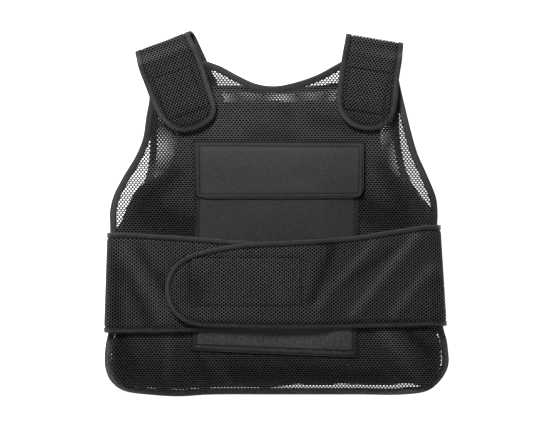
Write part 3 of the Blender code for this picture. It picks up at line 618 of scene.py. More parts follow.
def openNetTree():
    # a flat net inside the guide's faces: staggered cells, each with its hole, threads thickest midway
    tree, given, give, add, calc = newTree("openNet", "GeometryNodeTree", {
        "Geometry": "Geometry", "Pitch": 0.005, "Row": 0.0032, "Hole": 0.6, "Thread": 0.0009,
        "Turn": 0.0, "Material": "Material",
    }, ["Geometry"], "Geometry")
    guide, pitch, row = given["Geometry"], given["Pitch"], given["Row"]
    box = add("GeometryNodeBoundBox", {"Geometry": guide})
    corners = {0: box.outputs["Max"], 1: box.outputs["Min"]}
    span = add("ShaderNodeVectorMath", corners, operation="SUBTRACT")
    reach = add("ShaderNodeVectorMath", {0: span}, operation="LENGTH").outputs["Value"]
    total = add("ShaderNodeVectorMath", corners, operation="ADD")
    centre = add("ShaderNodeVectorMath", {0: total, "Scale": 0.5}, operation="SCALE")
    columns, rows = calc("CEIL", calc("DIVIDE", reach, pitch)), calc("CEIL", calc("DIVIDE", reach, row))
    grid = add("GeometryNodeMeshGrid", {
        "Size X": calc("MULTIPLY", columns, pitch), "Size Y": calc("MULTIPLY", rows, row),
        "Vertices X": calc("ADD", columns, 1.0), "Vertices Y": calc("ADD", rows, 1.0),
    })
    apart = add("ShaderNodeSeparateXYZ", {0: add("GeometryNodeInputPosition")})
    height = calc("ADD", calc("DIVIDE", apart.outputs["Y"], row), 1000.25)  # the row's number, above 0
    odd = calc("MODULO", calc("FLOOR", height), 2.0)
    stagger = add("ShaderNodeCombineXYZ", {"X": calc("MULTIPLY", calc("MULTIPLY", odd, 0.5), pitch)})
    staggered = add("GeometryNodeSetPosition", {"Geometry": grid, "Offset": stagger})
    threes = add("GeometryNodeTriangulate", {0: staggered}, quad_method="SHORTEST_DIAGONAL")
    turn = add("ShaderNodeCombineXYZ", {"Z": given["Turn"]})
    placed = add("GeometryNodeTransform", {"Geometry": threes, "Translation": centre, "Rotation": turn})
    cells = add("GeometryNodeDualMesh", {0: placed})
    near = add("GeometryNodeProximity", {0: guide}, target_element="FACES")
    outside = add("FunctionNodeCompare", {0: near.outputs["Distance"], 1: 1e-6}, data_type="FLOAT",
                  operation="GREATER_THAN")
    kept = add("GeometryNodeDeleteGeometry", {0: cells, 1: outside}, domain="FACE", mode="ALL")
    pushed = add("GeometryNodeExtrudeMesh", {0: kept, "Offset Scale": 0.0, "Individual": True},
                 mode="FACES")
    top = pushed.outputs["Top"]
    smaller = add("GeometryNodeScaleElements", {0: pushed, "Selection": top, "Scale": given["Hole"]},
                  domain="FACE", scale_mode="UNIFORM")
    holed = add("GeometryNodeDeleteGeometry", {0: smaller, 1: top}, domain="FACE", mode="ALL")
    beside = add("GeometryNodeInputMeshEdgeNeighbors")
    rim = add("FunctionNodeCompare", {2: beside, 3: 1}, data_type="INT", operation="EQUAL")
    onRim = add("GeometryNodeFieldOnDomain", {0: rim}, data_type="BOOLEAN", domain="EDGE")
    thread = add("FunctionNodeBooleanMath", {0: onRim}, operation="NOT")
    halves = []
    for share in (0.5, -0.5):
        lift = add("ShaderNodeCombineXYZ", {"Z": calc("MULTIPLY", given["Thread"], share)})
        halves.append(add("GeometryNodeSetPosition", {0: holed, "Selection": thread, "Offset": lift}))
    both = add("GeometryNodeJoinGeometry", {0: add("GeometryNodeFlipFaces", {0: halves[1]})})
    connect(tree, both, {0: halves[0]})
    closed = add("GeometryNodeMergeByDistance", {0: both, "Distance": 1e-5})
    give({"Geometry": paintedGeometry(add, closed, given["Material"])})
    return tree


def stitchTree():
    # one small rounded stitch at every pitch along the path
    tree, given, give, add, _ = newTree("stitchRow", "GeometryNodeTree", {
        "Geometry": "Geometry", "Pitch": 0.0034, "Length": 0.0022, "Width": 0.0007, "Material": "Material",
    }, ["Geometry"], "Geometry")
    line = add("GeometryNodeMeshToCurve", {0: given["Geometry"]})
    dots = add("GeometryNodeResampleCurve", {0: line, "Length": given["Pitch"]}, mode="LENGTH")
    bead = add("GeometryNodeMeshIcoSphere", {"Radius": 0.5, "Subdivisions": 1})
    aim = add("FunctionNodeAlignRotationToVector", {"Vector": add("GeometryNodeInputTangent")}, axis="X")
    size = add("ShaderNodeCombineXYZ", {"X": given["Length"], "Y": given["Width"], "Z": given["Width"]})
    row = add("GeometryNodeInstanceOnPoints", {
        "Points": dots, "Instance": bead, "Rotation": aim, "Scale": size,
    })
    give({"Geometry": paintedGeometry(add, row, given["Material"])})
    return tree


# Shader node groups
def remap(add, value, low, high, toLow=0.0, toHigh=1.0):
    return add("ShaderNodeMapRange", {
        "Value": value, "From Min": low, "From Max": high, "To Min": toLow, "To Max": toHigh,
    }, interpolation_type="SMOOTHSTEP")


def weaveGroup():
    # a plain weave: each thread rises over one neighbour and dives under the next
    group, given, give, add, calc = newTree("plainWeave", "ShaderNodeTree", {
        "Vector": "Vector", "Thread": 0.0006,
    }, ["Height", "Tone"])
    apart = add("ShaderNodeSeparateXYZ", {0: given["Vector"]})
    u, v = [calc("DIVIDE", apart.outputs[axis], given["Thread"]) for axis in ("X", "Y")]
    warp, weft = [calc("ABSOLUTE", calc("SINE", calc("MULTIPLY", along, math.pi))) for along in (u, v)]
    steps = calc("ADD", calc("FLOOR", u), calc("FLOOR", v))
    over = calc("ABSOLUTE", calc("MODULO", steps, 2.0))
    under = calc("SUBTRACT", 1.0, over)
    height = calc("ADD", calc("MULTIPLY", warp, over), calc("MULTIPLY", weft, under))
    give({"Height": height, "Tone": calc("ADD", 0.72, calc("MULTIPLY", height, 0.4))})
    return group


def ribGroup():
    # ribs across a tape, at every pitch along it
    group, given, give, add, calc = newTree("tapeRibs", "ShaderNodeTree", {
        "Vector": "Vector", "Pitch": 0.0016,
    }, ["Height", "Tone"])
    apart = add("ShaderNodeSeparateXYZ", {0: given["Vector"]})
    along = calc("DIVIDE", apart.outputs["X"], given["Pitch"])
    wave = calc("SINE", calc("MULTIPLY", along, 2 * math.pi))
    height = calc("ADD", 0.5, calc("MULTIPLY", wave, 0.5))
    give({"Height": height, "Tone": calc("ADD", 0.75, calc("MULTIPLY", height, 0.45))})
    return group


def netGroup():
    # the same staggered holes as the open net, drawn: Hole is 1 inside a hole
    group, given, give, add, calc = newTree("drawnNet", "ShaderNodeTree", {
        "Vector": "Vector", "Pitch": 0.005, "Row": 0.0032, "Radius": 0.0013,
    }, ["Hole", "Height"])
    apart = add("ShaderNodeSeparateXYZ", {0: given["Vector"]})
    v = calc("DIVIDE", apart.outputs["Y"], given["Row"])
    line = calc("ROUND", v)
    dy = calc("MULTIPLY", calc("SUBTRACT", v, line), given["Row"])
    shift = calc("MULTIPLY", calc("ABSOLUTE", calc("MODULO", line, 2.0)), 0.5)
    u = calc("ADD", calc("DIVIDE", apart.outputs["X"], given["Pitch"]), shift)
    dx = calc("MULTIPLY", calc("SUBTRACT", u, calc("ROUND", u)), given["Pitch"])
    away = calc("SQRT", calc("ADD", calc("MULTIPLY", dx, dx), calc("MULTIPLY", dy, dy)))
    hole = remap(add, calc("DIVIDE", away, given["Radius"]), 1.15, 0.85)
    give({"Hole": hole, "Height": calc("SUBTRACT", 1.0, hole)})
    return group


def lintGroup():
    # uneven dye, fine fibres and a few pale specks of lint; Tone multiplies the colour
    group, given, give, add, calc = newTree("lintAndDye", "ShaderNodeTree", {
        "Vector": "Vector", "Patch": 14.0, "Grain": 900.0, "Unevenness": 0.12, "Lint": 0.02, "Fibre": 0.5,
    }, ["Tone", "Lint", "Grain"])
    patch, grain, speck = [
        add("ShaderNodeTexNoise", {"Vector": given["Vector"], "Scale": scale, "Detail": detail})
        for scale, detail in ((given["Patch"], 3.0), (given["Grain"], 1.0), (260.0, 2.0))
    ]
    uneven = calc("MULTIPLY", calc("SUBTRACT", patch, 0.5), given["Unevenness"])
    fibre = calc("MULTIPLY", calc("SUBTRACT", grain, 0.5), given["Fibre"])
    tone = calc("ADD", 1.0, calc("ADD", calc("MULTIPLY", uneven, 3.0), fibre))
    fluff = calc("MULTIPLY", remap(add, speck, 0.7, 0.78), given["Lint"])
    give({"Tone": tone, "Lint": fluff, "Grain": grain})
    return group


groups = {"weave": weaveGroup(), "ribs": ribGroup(), "net": netGroup(), "lint": lintGroup()}

# Finishes: colour is the fibre's own, linear; what a finish doesn't say is as in usualFinish
usualFinish = {
    "roughness": 0.6, "sheen": 0.1, "uneven": 0.1, "lint": 0.008, "fibre": 0.5, "grain": 900.0,
    "pattern": None, "depth": 0.0002, "sizes": {},
}
darkInside = {
    "colour": 0.002, "roughness": 0.9, "sheen": 0.0, "uneven": 0.15, "lint": 0.0, "pattern": "weave",
    "depth": 0.0001,
}
sewnCloth = {
    "uneven": 0.2, "fibre": 2.8, "grain": 480.0, "pattern": "weave", "depth": 0.00015,
    "sizes": {"Thread": 0.0007},
}
finishes = {
    "panelNet": {"colour": 0.056, "roughness": 0.55},
    "beltNet": {"colour": 0.058, "roughness": 0.55},
    "drawnNet": {"colour": 0.034, "roughness": 0.7, "uneven": 0.12, "pattern": "net", "depth": 0.0004},
    "insertCover": {**darkInside, "sizes": {"Thread": 0.0005}},
    "beltPad": {**darkInside, "sizes": {"Thread": 0.0006}},
    "bindingTape": {"colour": 0.022, "uneven": 0.12, "fibre": 3.0, "grain": 450.0, "pattern": "ribs",
                    "depth": 0.00035, "sizes": {"Pitch": 0.0017}},
    "pocketCloth": {**sewnCloth, "colour": 0.022},
    "flapCloth": {**sewnCloth, "colour": 0.0195},
    "hookTape": {"colour": 0.012, "roughness": 0.75, "sheen": 0.05, "lint": 0.0, "pattern": "weave",
                 "depth": 0.0003, "sizes": {"Thread": 0.0009}},
    "stitchThread": {"colour": 0.003, "roughness": 0.8, "sheen": 0.0, "uneven": 0.05, "lint": 0.0},
}


def clothMaterial(name):
    look = {**usualFinish, **finishes[name]}
    material = bpy.data.materials.new(name)
    material.use_nodes = True
    tree = material.node_tree
    add, calc = makers(tree)
    lint = add("ShaderNodeGroup", {
        "Vector": add("ShaderNodeTexCoord").outputs["Object"], "Unevenness": look["uneven"],
        "Lint": look["lint"], "Fibre": look["fibre"], "Grain": look["grain"],
    }, node_tree=groups["lint"])
    tone, grain = lint.outputs["Tone"], lint.outputs["Grain"]
    height = grain
    if name != "stitchThread":
        # the mesh's painted light and shade multiplies the colour
        shade = add("ShaderNodeAttribute", attribute_name="shade")
        tone = calc("MULTIPLY", tone, shade.outputs["Fac"])
    if look["pattern"]:
        flat = add("ShaderNodeUVMap", uv_map="flat")
        part = add("ShaderNodeGroup", {"Vector": flat, **look["sizes"]}, node_tree=groups[look["pattern"]])
        if look["pattern"] == "net":
            drawn = calc("SUBTRACT", 1.0, calc("MULTIPLY", part.outputs["Hole"], 0.8))
            grainShare = 0.2
        else:
            drawn = part.outputs["Tone"]
            grainShare = 0.4
        tone = calc("MULTIPLY", tone, drawn)
        height = calc("ADD", part.outputs["Height"], calc("MULTIPLY", grain, grainShare))
    value = calc("ADD", calc("MULTIPLY", tone, look["colour"]), lint.outputs["Lint"])
    blue = calc("MULTIPLY", value, 1.03)
    connect(tree, tree.nodes["Principled BSDF"], {
        "Base Color": add("ShaderNodeCombineColor", {"Red": value, "Green": value, "Blue": blue}),
        "Roughness": calc("ADD", look["roughness"] - 0.08, calc("MULTIPLY", grain, 0.16)),
        "Normal": add("ShaderNodeBump", {"Height": height, "Distance": look["depth"], "Strength": 0.7}),
        "Sheen Weight": look["sheen"], "Sheen Roughness": 0.4,
        "Specular IOR Level": 0.1 if look["colour"] < 0.005 else 0.35,
    })
    return material


materials = {name: clothMaterial(name) for name in finishes}
netTree, rowTree = openNetTree(), stitchTree()
net = {"Pitch": 0.005, "Row": 0.0032, "Thread": 0.0009}
holes = {"frontOuter": 0.67, "frontInner": 0.56, "backInner": 0.47, "backOuter": 0.47, "belt": 0.7}


def drapedNet(name, loops, place, height, finish, shade, turn=0.0, hole="belt"):
    # the tree makes a flat net in the faces that only the first loop holds; then it is laid on its surface
    points, counted = flatCut(loops, 30.0)
    mesh = bpy.data.meshes.new(name + "Guide")
    faces = [t for t, loopCount in counted if loopCount == 1]
    mesh.from_pydata([(p[0] * mm, p[1] * mm, 0) for p in points], [], faces)
    values = {**net, "Hole": holes[hole], "Turn": turn, "Material": materials[finish]}
    piece = runTree(newObject(name + "Guide", mesh), netTree, values, name)
    mesh = piece.data
    spots = np.empty(len(mesh.vertices) * 3)
    mesh.vertices.foreach_get("co", spots)
    spots = spots.reshape(-1, 3) / mm
    piece["flatArea"] = netArea(mesh)
    x, y = spots[:, 0], spots[:, 1]
    laid = paired(*place(x, y, height(x, y) + spots[:, 2])) * mm
    mesh.vertices.foreach_set("co", laid.astype(np.float32).ravel())
    addMaps(mesh, spots[:, :2], shade(x, y))
    mesh.update()
    mesh.shade_smooth()
    print("net", name, "triangles", sum(len(p.vertices) - 2 for p in mesh.polygons))
    return piece


def stitches(name, path, place, height, pitch=3.4, closed=False, size=(2.5, 1.0)):
    spots = looped(np.asarray(path, float)) if closed else np.asarray(path, float)
    x, y = spots[:, 0], spots[:, 1]
    laid = paired(*place(x, y, height(x, y))) * mm
    mesh = bpy.data.meshes.new(name + "Line")
    mesh.from_pydata(laid, [(i, i + 1) for i in range(len(laid) - 1)], [])
    values = {
        "Pitch": pitch * mm, "Length": size[0] * mm, "Width": size[1] * mm,
        "Material": materials["stitchThread"],
    }
    return runTree(newObject(name + "Line", mesh), rowTree, values, name)


def finished(piece, nodes=(), cut=None):
    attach(piece, "root")
    if nodes:
        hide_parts(*nodes)
    return piece


# Camera, light and floor
camera = newObject("camera", bpy.data.cameras.new("camera"))
camera.location = (-0.002, -0.0015, 4.6)
camera.data.lens = 200
camera.data.sensor_width = 36
camera.data.clip_end = 20
scene.camera = camera

studio = {
    "key": {"place": (-1.0, 1.9, 1.65), "size": 0.7, "power": 95.0},
    "fill": {"place": (0.5, -0.4, 2.8), "size": 1.8, "power": 12.0},
    "world": 0.1, "floorGlow": 1.0, "floorReach": 6.0,
}
for name in ("key", "fill"):
    look = studio[name]
    light = bpy.data.lights.new(name + "Light", "AREA")
    light.shape = "SQUARE"
    light.size = look["size"]
    light.energy = look["power"]
    lamp = newObject(name + "Light", light)
    lamp.location = look["place"]
    lamp.rotation_euler = (Vector((0, 0, 0)) - Vector(look["place"])).to_track_quat("-Z", "Y").to_euler()

world = bpy.data.worlds.new("studioWorld")
world.use_nodes = True
world.node_tree.nodes["Background"].inputs["Color"].default_value = (1, 1, 1, 1)
world.node_tree.nodes["Background"].inputs["Strength"].default_value = studio["world"]
scene.world = world
scene.view_settings.view_transform = "Standard"


def floorPiece():
    mesh = bpy.data.meshes.new("floor")
    reach = studio["floorReach"]
    corners = [(-reach, -reach, 0), (reach, -reach, 0), (reach, reach, 0), (-reach, reach, 0)]
    mesh.from_pydata(corners, [], [(0, 1, 2, 3)])
    material = bpy.data.materials.new("floorSheet")
    material.use_nodes = True
    tree = material.node_tree
    add, _ = makers(tree)
    cloud = add("ShaderNodeTexNoise", {"Scale": 3.0, "Vector": add("ShaderNodeTexCoord").outputs["Object"]})
    value = remap(add, cloud, 0.2, 0.8, 0.84, 0.86)
    connect(tree, tree.nodes["Principled BSDF"], {
        "Base Color": add("ShaderNodeCombineColor", {"Red": value, "Green": value, "Blue": value}),
        "Roughness": 0.8, "Emission Color": (1, 1, 1, 1), "Emission Strength": studio["floorGlow"],
    })
    mesh.materials.append(material)
    newObject("floor", mesh)


floorPiece()


# Pocket and flap: corners run from the lower left, and each side's hem is its inset
def roundedLoop(corners, step=5.0, radius=0, rounded=()):
    loop = []
    count = len(corners)
    for i, corner in enumerate(corners):
        c, before, after = Vector(corner), Vector(corners[i - 1]), Vector(corners[(i + 1) % count])
        toBefore, toAfter = (before - c).normalized(), (after - c).normalized()
        if i in rounded:
            start, end = c + toBefore * radius, c + toAfter * radius
            for t in np.linspace(0, 1, 7).tolist():
                loop.append(start * (1 - t) ** 2 + c * (2 * t * (1 - t)) + end * t ** 2)
        else:
            end = c
            loop.append(c)
        stop = after - (after - c).normalized() * (radius if (i + 1) % count in rounded else 0)
        runs = max(1, round((stop - end).length / step))
        loop += [end.lerp(stop, k / runs) for k in range(1, runs)]
    return np.array(loop)


def insetLoop(look, insets, step=5.0):
    # each side, from one corner to the next, moved inwards by its own inset
    lines = []
    corners = look["corners"]
    for start, stop, inset in zip(corners, corners[1:] + corners[:1], insets):
        a, b = Vector(start), Vector(stop)
        d = (b - a).normalized()
        lines.append((a + Vector((-d.y, d.x)) * inset, d))
    found = []
    for i in range(len(lines)):
        (p, d), (q, e) = lines[i - 1], lines[i]
        along = ((q.x - p.x) * e.y - (q.y - p.y) * e.x) / (d.x * e.y - d.y * e.x)
        found.append(p + d * along)
    return roundedLoop(found, step)


hemLook = {
    "rise": 0.6, "edge": 1.9, "edgeSink": 0.45, "seamIn": 1.4, "seamSink": 0.6,
    "stitchPitch": 3.6, "stitchSize": (2.7, 1.7), "sewnLift": 0.3,
}
pocket = {
    "name": "pocket", "piece": "pocketPanel", "finish": "pocketCloth", "restsOn": "front_outer_mesh",
    "node": "pocket", "corners": [(-124.5, -203.6), (119, -214), (123, 95.5), (-118.5, 95.5)],
    "hems": [10.5, 6.75, 0.0, 6.75], "size": (0.243, 0.304),
    # the pocket's tone paints light towards its bottom, which slopes away from the key light
    "lift": 0.8, "relief": 0.8, "bulge": 1.2, "bulgeReach": 12.0, "tone": toneAlong("pocket"),
    "dents": [
        (-60, 10, 40, 6, 0.5, 9), (-100, -30, -20, -34, 0.4, 8), (60, -190, 110, -200, 0.5, 9),
        (-70, -185, -110, -198, 0.4, 8), (0, -176, 0, -205, -0.4, 12),
    ],
    "dentFade": 20, "dentsBelow": -165,
}
flap = {
    "name": "flap", "piece": "pocketFlap", "finish": "flapCloth", "restsOn": "pocket",
    "node": "pocket_flap", "corners": [(-121, 22.2), (129.5, 23), (131, 107), (-123, 108.5)],
    "hems": [8.6, 8.8, 8.6, 8.8], "round": 18.0, "size": (0.254, 0.086),
    "lift": 0.9, "relief": 1.0, "rise": 2.9, "top": 107.75, "riseReach": 15.6, "tone": evenShade,
    "dents": [
        (-90, 85, -20, 60, 0.5, 12), (10, 50, 100, 70, -0.4, 14), (-40, 34, 60, 36, 0.4, 8),
        (-118, 40, -60, 44, -0.4, 10), (70, 92, 120, 60, 0.4, 10),
    ],
    "dentFade": 14, "dentsBelow": 200,
}
print("ready to cut the cloth")
pocket["loop"] = roundedLoop(pocket["corners"])
flap["loop"] = roundedLoop(flap["corners"], 5.0, flap["round"], (0, 1))


def pocketLow(x, y):
    # sewn down at both sides and the bottom, slack between
    sewn = pathDistance(np.roll(pocket["corners"], 1, axis=0), x, y, False)
    return frontTop(x, y) + hemLook["sewnLift"] + pocket["bulge"] * ramp(sewn / pocket["bulgeReach"])


def flapLow(x, y):
    # sewn down along its top
    risen = ramp((flap["top"] - y) / flap["riseReach"])
    return frontTop(x, y) + hemLook["sewnLift"] + flap["rise"] * risen


def hemmed(look, x, y):
    # raised folded hems with a sunk row of stitches near their inner edge
    inner = insetLoop(look, look["hems"])
    away = pathDistance(inner, x, y)
    off = np.where(insideLoop(inner, x, y), -away, away)
    edge = pathDistance(look["loop"], x, y)
    raised = hemLook["rise"] * between(off, -0.6, 0.6)
    atSeam = hemLook["seamSink"] * hump((off - hemLook["seamIn"]) / 0.9)
    atEdge = hemLook["edgeSink"] * hump((edge - hemLook["edge"]) / 0.8) * (off > 0)
    return raised - atSeam - atEdge


def highOf(look, low):
    def high(x, y):
        soft = ramp(pathDistance(look["loop"], x, y) / look["dentFade"])
        dents = creased(look["dents"], x, y) * soft * ramp((look["dentsBelow"] - y) / 12)
        return low(x, y) + look["lift"] + dents + hemmed(look, x, y) * look["relief"]

    return high


def clearOf(loop, points, gap):
    inside = insideLoop(loop, points[:, 0], points[:, 1])
    return points[inside & (pathDistance(loop, points[:, 0], points[:, 1]) > gap)]


def hemPoints(look):
    # rows of points beside the hem's inner edge, so that its step stays crisp
    rows = []
    for more in (-0.7, 0.7, hemLook["seamIn"], 2.2):
        insets = [max(h - more, 0.8) if h > 0 else 1.0 for h in look["hems"]]
        rows.append(insetLoop(look, insets, 3.0))
    rows.append(insetLoop(look, [hemLook["edge"]] * 4, 3.0))
    return clearOf(look["loop"], np.vstack(rows), 0.6)


def stitchLoops(look):
    inner = [max(h - hemLook["seamIn"], 1.5) for h in look["hems"]]
    return [insetLoop(look, inner, 4.0), insetLoop(look, [hemLook["edge"]] * 4, 4.0)]


def stitchTone(look):
    # painted shade along the stitch lines, where the stitches pull the cloth in
    lines = stitchLoops(look)

    def shade(x, y):
        nearest = np.minimum(pathDistance(lines[0], x, y), pathDistance(lines[1], x, y))
        return look["tone"](x, y) * (1 - shades["stitched"] * hump(nearest / shades["stitchedReach"]))

    return shade


print("pocket and flap")
for look, low in ((pocket, pocketLow), (flap, flapLow)):
    look["high"] = highOf(look, low)
    cut = flatCut([look["loop"]], 4.0, extra=hemPoints(look))
    piece = clothSolid(look["piece"], cut, onFront, low, look["high"], look["finish"], 55.0,
                       stitchTone(look))
    finished(piece, [look["node"]], look["size"])


# Belts and straps: a dark pad under an open net, with tape round the edge and a hook patch below
sewing = {
    "patchRise": 0.35, "patchSink": 0.7, "patchReach": 1.8, "patchDark": 0.35, "patchDarkReach": 2.0,
    # seamDark and patchDark are painted shade beside the seams
    "seamAt": 0.4, "seamSink": 1.0, "seamReach": 2.4, "seamDark": 0.45, "seamDarkReach": 2.2,
    "tapeOverCloth": 2.0, "stitchesIn": 1.3, "stitchSink": 0.15, "hookLow": -1.7, "hookHigh": -0.5,
}


def patchLoop(hook, up=0.0):
    (left, bottom), (right, top) = hook
    corners = [(left, bottom + up), (right, bottom + up), (right, top + up), (left, top + up)]
    return roundedLoop(corners, 3.5)


def quilted(loop, x, y):
    # the patch under the cloth: a sunk seam round it and a slight rise inside
    if loop is None:
        return np.zeros(np.shape(x))
    away = pathDistance(loop, x, y)
    raised = sewing["patchRise"] * ramp(away / 5) * insideLoop(loop, x, y)
    return raised - sewing["patchSink"] * hump(away / sewing["patchReach"])


def sunkSeam(line, x, y):
    # the seam pulls the padding down beside the tape
    away = pathDistance(line, x, y, False) - sewing["seamAt"]
    return -sewing["seamSink"] * hump(away / sewing["seamReach"])


def seamTone(patch, seamLine, x, y):
    # painted shade beside the tape's seam and round the hook patch, where the cloth is pulled in
    away = pathDistance(seamLine, x, y, False) - 0.5
    tone = 1 - sewing["seamDark"] * hump(away / sewing["seamDarkReach"])
    if patch is not None:
        tone = tone * (1 - sewing["patchDark"] * hump(pathDistance(patch, x, y) / sewing["patchDarkReach"]))
    return tone


def dressStrip(look, make, place, path, patch, tone, size, hidden=()):
    name, node, binding = look["name"], look["node"], make["binding"]
    tape, tapeShade = tapeSection(make), steady(make["tapeTone"])
    band = sweptBand(name + "Binding", path, False, place, make["thick"] / 2, tape, tapeShade)
    inner, seamLine = moved(path, binding - sewing["tapeOverCloth"], False), moved(path, binding, False)

    def relief(x, y):
        return quilted(patch, x, y) + sunkSeam(seamLine, x, y)

    # painted light and shade on the net: the strip's tone times the seam's painted shade
    def shade(x, y):
        return np.clip(tone(x, y) * seamTone(patch, seamLine, x, y), *make["toneRange"])

    pad = clothSolid(name + "Pad", flatCut([inner], make["spacing"]), place, steady(0),
                     lambda x, y: make["pad"] + relief(x, y) * 0.8, "beltPad")
    cloth = drapedNet(name + "Net", [inner, *hidden], place, lambda x, y: make["net"] + relief(x, y),
                      "beltNet", shade, make["turn"])
    finished(band, [node + "_binding"], tapeFlat(path, False, tape))
    finished(pad, [node + "_mesh"], size)
    finished(cloth, [], size)
    stitchTop = make["thick"] / 2 + make["bindingThick"] / 2 - sewing["stitchSink"]
    seam = stitches(name + "Seam", moved(path, binding - sewing["stitchesIn"], False), place,
                    steady(stitchTop))
    finished(seam)
    if patch is not None:
        hook = clothSolid(look["patch"] + "HookPatch", flatCut([patch], 8.0), place,
                          steady(sewing["hookLow"]), steady(sewing["hookHigh"]), "hookTape")
        finished(hook, [look["patchNode"]], make["patchSize"])
        patchSeam = stitches(look["patch"] + "PatchSeam", patch, place, steady(make["net"]), closed=True)
        finished(patchSeam)


# Belts: world x and y on the front; the run past the side joint goes round the side and under the back
belt = {
    "joint": 222.0, "arc": 74.0, "arcPower": 3.0, "midZ": 29.0, "rear": 60.0, "rearSeat": 1.8,
    "binding": 7.4, "bindingThick": 2.8, "thick": 2.4, "pad": 0.9, "net": 1.98, "spacing": 6.0,
    "pocketLift": 3.2, "freeLift": 2.4, "pocketEdge": 135.0, "freeEdge": 165.0,
    "overlapLift": 5.2, "overlapTo": 52.0, "overlapGone": 92.0,
    "width": 0.152, "patchSize": (0.166, 0.072), "turn": math.pi / 2, "tapeTone": 1.0,
    "toneRange": (0.3, 1.5), "step": 3.5, "cornerClear": 9,
}
leftBelt = {
    "name": "leftBelt", "node": "left_belt", "side": -1, "reach": 36,
    "sideTop": (-20, 253.0), "sideBottom": (-170, 258.0),
    "top": [(-222, -28.5), (-189, -30.4), (-121.5, -34.7), (-65, -39.4), (-10, -43.5), (36, -47)],
    "end": [],
    "bottom": [(36, -166.5), (-37.5, -171.4), (-93, -174.4), (-159, -177.2), (-222, -178)],
    "creases": [
        (-227, -55, -167, -152, 2.0, 12), (-200, -60, -140, -150, -1.4, 12), (-190, -45, -178, -80, 1.0, 9),
        (-222, -90, -190, -160, -1.4, 10), (-243, -60, -236, -160, -1.6, 9),
    ],
}
rightBelt = {
    "name": "rightBelt", "node": "right_belt", "side": 1, "reach": 165,
    "sideTop": (-20, 246.0), "sideBottom": (-170, 255.5),
    "top": [
        (222, -17), (208.5, -19), (163.5, -26), (133.5, -31), (96, -35.6), (21, -40.3), (-46.5, -43.9),
    ],
    "end": [
        (-91.5, -51), (-129, -61), (-153, -78), (-165, -108), (-159, -140), (-140, -160), (-117, -167.6),
    ],
    "bottom": [(-65, -169.7), (10, -171.5), (103.5, -170.6), (199, -168.4), (222, -167.8)],
    "creases": [
        (144, -48, 63, -137, 3.2, 8), (208, -36, 116, -150, 4.6, 9), (234, -76, 174, -152, 3.2, 8),
        (88, -44, 52, -130, -1.6, 8), (61, -133, 188, -47, -1.2, 7), (-122, -107, -118, -120, -1.4, 16),
        (-60, -60, -20, -90, 0.8, 14), (-100, -150, -40, -140, 0.6, 12), (0, -60, 4, -140, 0.5, 10),
    ],
    "hook": ((-129, -137), (37, -65)), "patch": "belt", "patchNode": "belt_hook_patch",
}


def halfArc(width, up, down, angle):
    # half of a squared ellipse, from its top at a right angle to its bottom
    c, s = np.cos(angle), np.sin(angle)
    power = 2 / belt["arcPower"]
    return width * np.maximum(c, 0) ** power, np.where(s > 0, up, down) * np.abs(s) ** power * np.sign(s)


def arcTable():
    # angles for even steps along a usual arc
    angles = math.pi * (0.5 - np.arange(97) / 96)
    x, z = halfArc(30.0, 17.0, 17.0, angles)
    length = np.concatenate([[0], np.cumsum(np.hypot(np.diff(x), np.diff(z)))])
    return length / length[-1], angles


arcShares, arcAngles = arcTable()


def beltCover(look):
    def cover(x, y):
        off = between(np.abs(x), belt["pocketEdge"], belt["freeEdge"])
        base = coverOfFront(x, y) + mixed(belt["pocketLift"], belt["freeLift"], off)
        if look["side"] > 0:
            base = base + belt["overlapLift"] * between(x, belt["overlapGone"], belt["overlapTo"])
        folds = np.maximum(creased(look["creases"], x, y), -0.9)
        fromRim = between(y, -22, -40) * between(y, -178, -160)  # creases die out towards the bindings
        return base + folds * mixed(0.35, 1.0, fromRim)

    return cover


def beltPlace(look):
    side, cover, joint = look["side"], beltCover(look), belt["joint"]
    (yTop, xTop), (yBottom, xBottom) = look["sideTop"], look["sideBottom"]

    def place(x, y, h):
        x, y, h = np.asarray(x, float), np.asarray(y, float), np.asarray(h, float)
        run = x * side - joint
        front = cover(x, y) + h
        far = mixed(xTop, xBottom, np.clip((y - yTop) / (yBottom - yTop), 0, 1)) - belt["bindingThick"]
        up = cover(np.full(np.shape(x), side * joint), y) - belt["midZ"]
        down = belt["midZ"] - lieOfBack(joint, y) + belt["rearSeat"]
        angle = np.interp(np.clip(run / belt["arc"], 0, 1), arcShares, arcAngles)
        width = far - joint
        atX, atZ = halfArc(width, up, down, angle)
        aheadX, aheadZ = halfArc(width, up, down, np.maximum(angle - 0.02, -math.pi / 2))
        behindX, behindZ = halfArc(width, up, down, np.minimum(angle + 0.02, math.pi / 2))
        alongX, alongZ = aheadX - behindX, aheadZ - behindZ
        size = np.maximum(np.hypot(alongX, alongZ), 1e-9)
        arcX = side * (joint + atX - alongZ / size * h)
        arcZ = belt["midZ"] + atZ + alongX / size * h
        under = joint - (run - belt["arc"])
        rearZ = lieOfBack(under, y) - belt["rearSeat"] - h
        onArc = run < belt["arc"]
        outX = np.where(run <= 0, x, np.where(onArc, arcX, side * under))
        outZ = np.where(run <= 0, front, np.where(onArc, arcZ, rearZ))
        return outX, y, outZ

    return place


def beltPath(look):
    # from the rear end along the top, round the front end and back along the bottom
    side, top, bottom, step = look["side"], look["top"], look["bottom"], belt["step"]
    far = belt["joint"] + belt["arc"] + belt["rear"]
    stops = side * np.append(np.arange(belt["joint"] + 3, far, 3.0), far)
    if look["end"]:
        front = smoothLine(top + look["end"] + bottom, step)
    else:
        edge = smoothLine([top[-1], bottom[0]], step)[1:-1]
        front = np.vstack([smoothLine(top, step), edge, smoothLine(bottom, step)])
        fromCorner = np.minimum(fromSpot(front, top[-1]), fromSpot(front, bottom[0]))
        front = front[(fromCorner > belt["cornerClear"]) | (fromCorner == 0)]
    path = np.vstack([paired(stops[::-1], top[0][1]), front, paired(stops, bottom[-1][1])])
    return path if side > 0 else path[::-1]


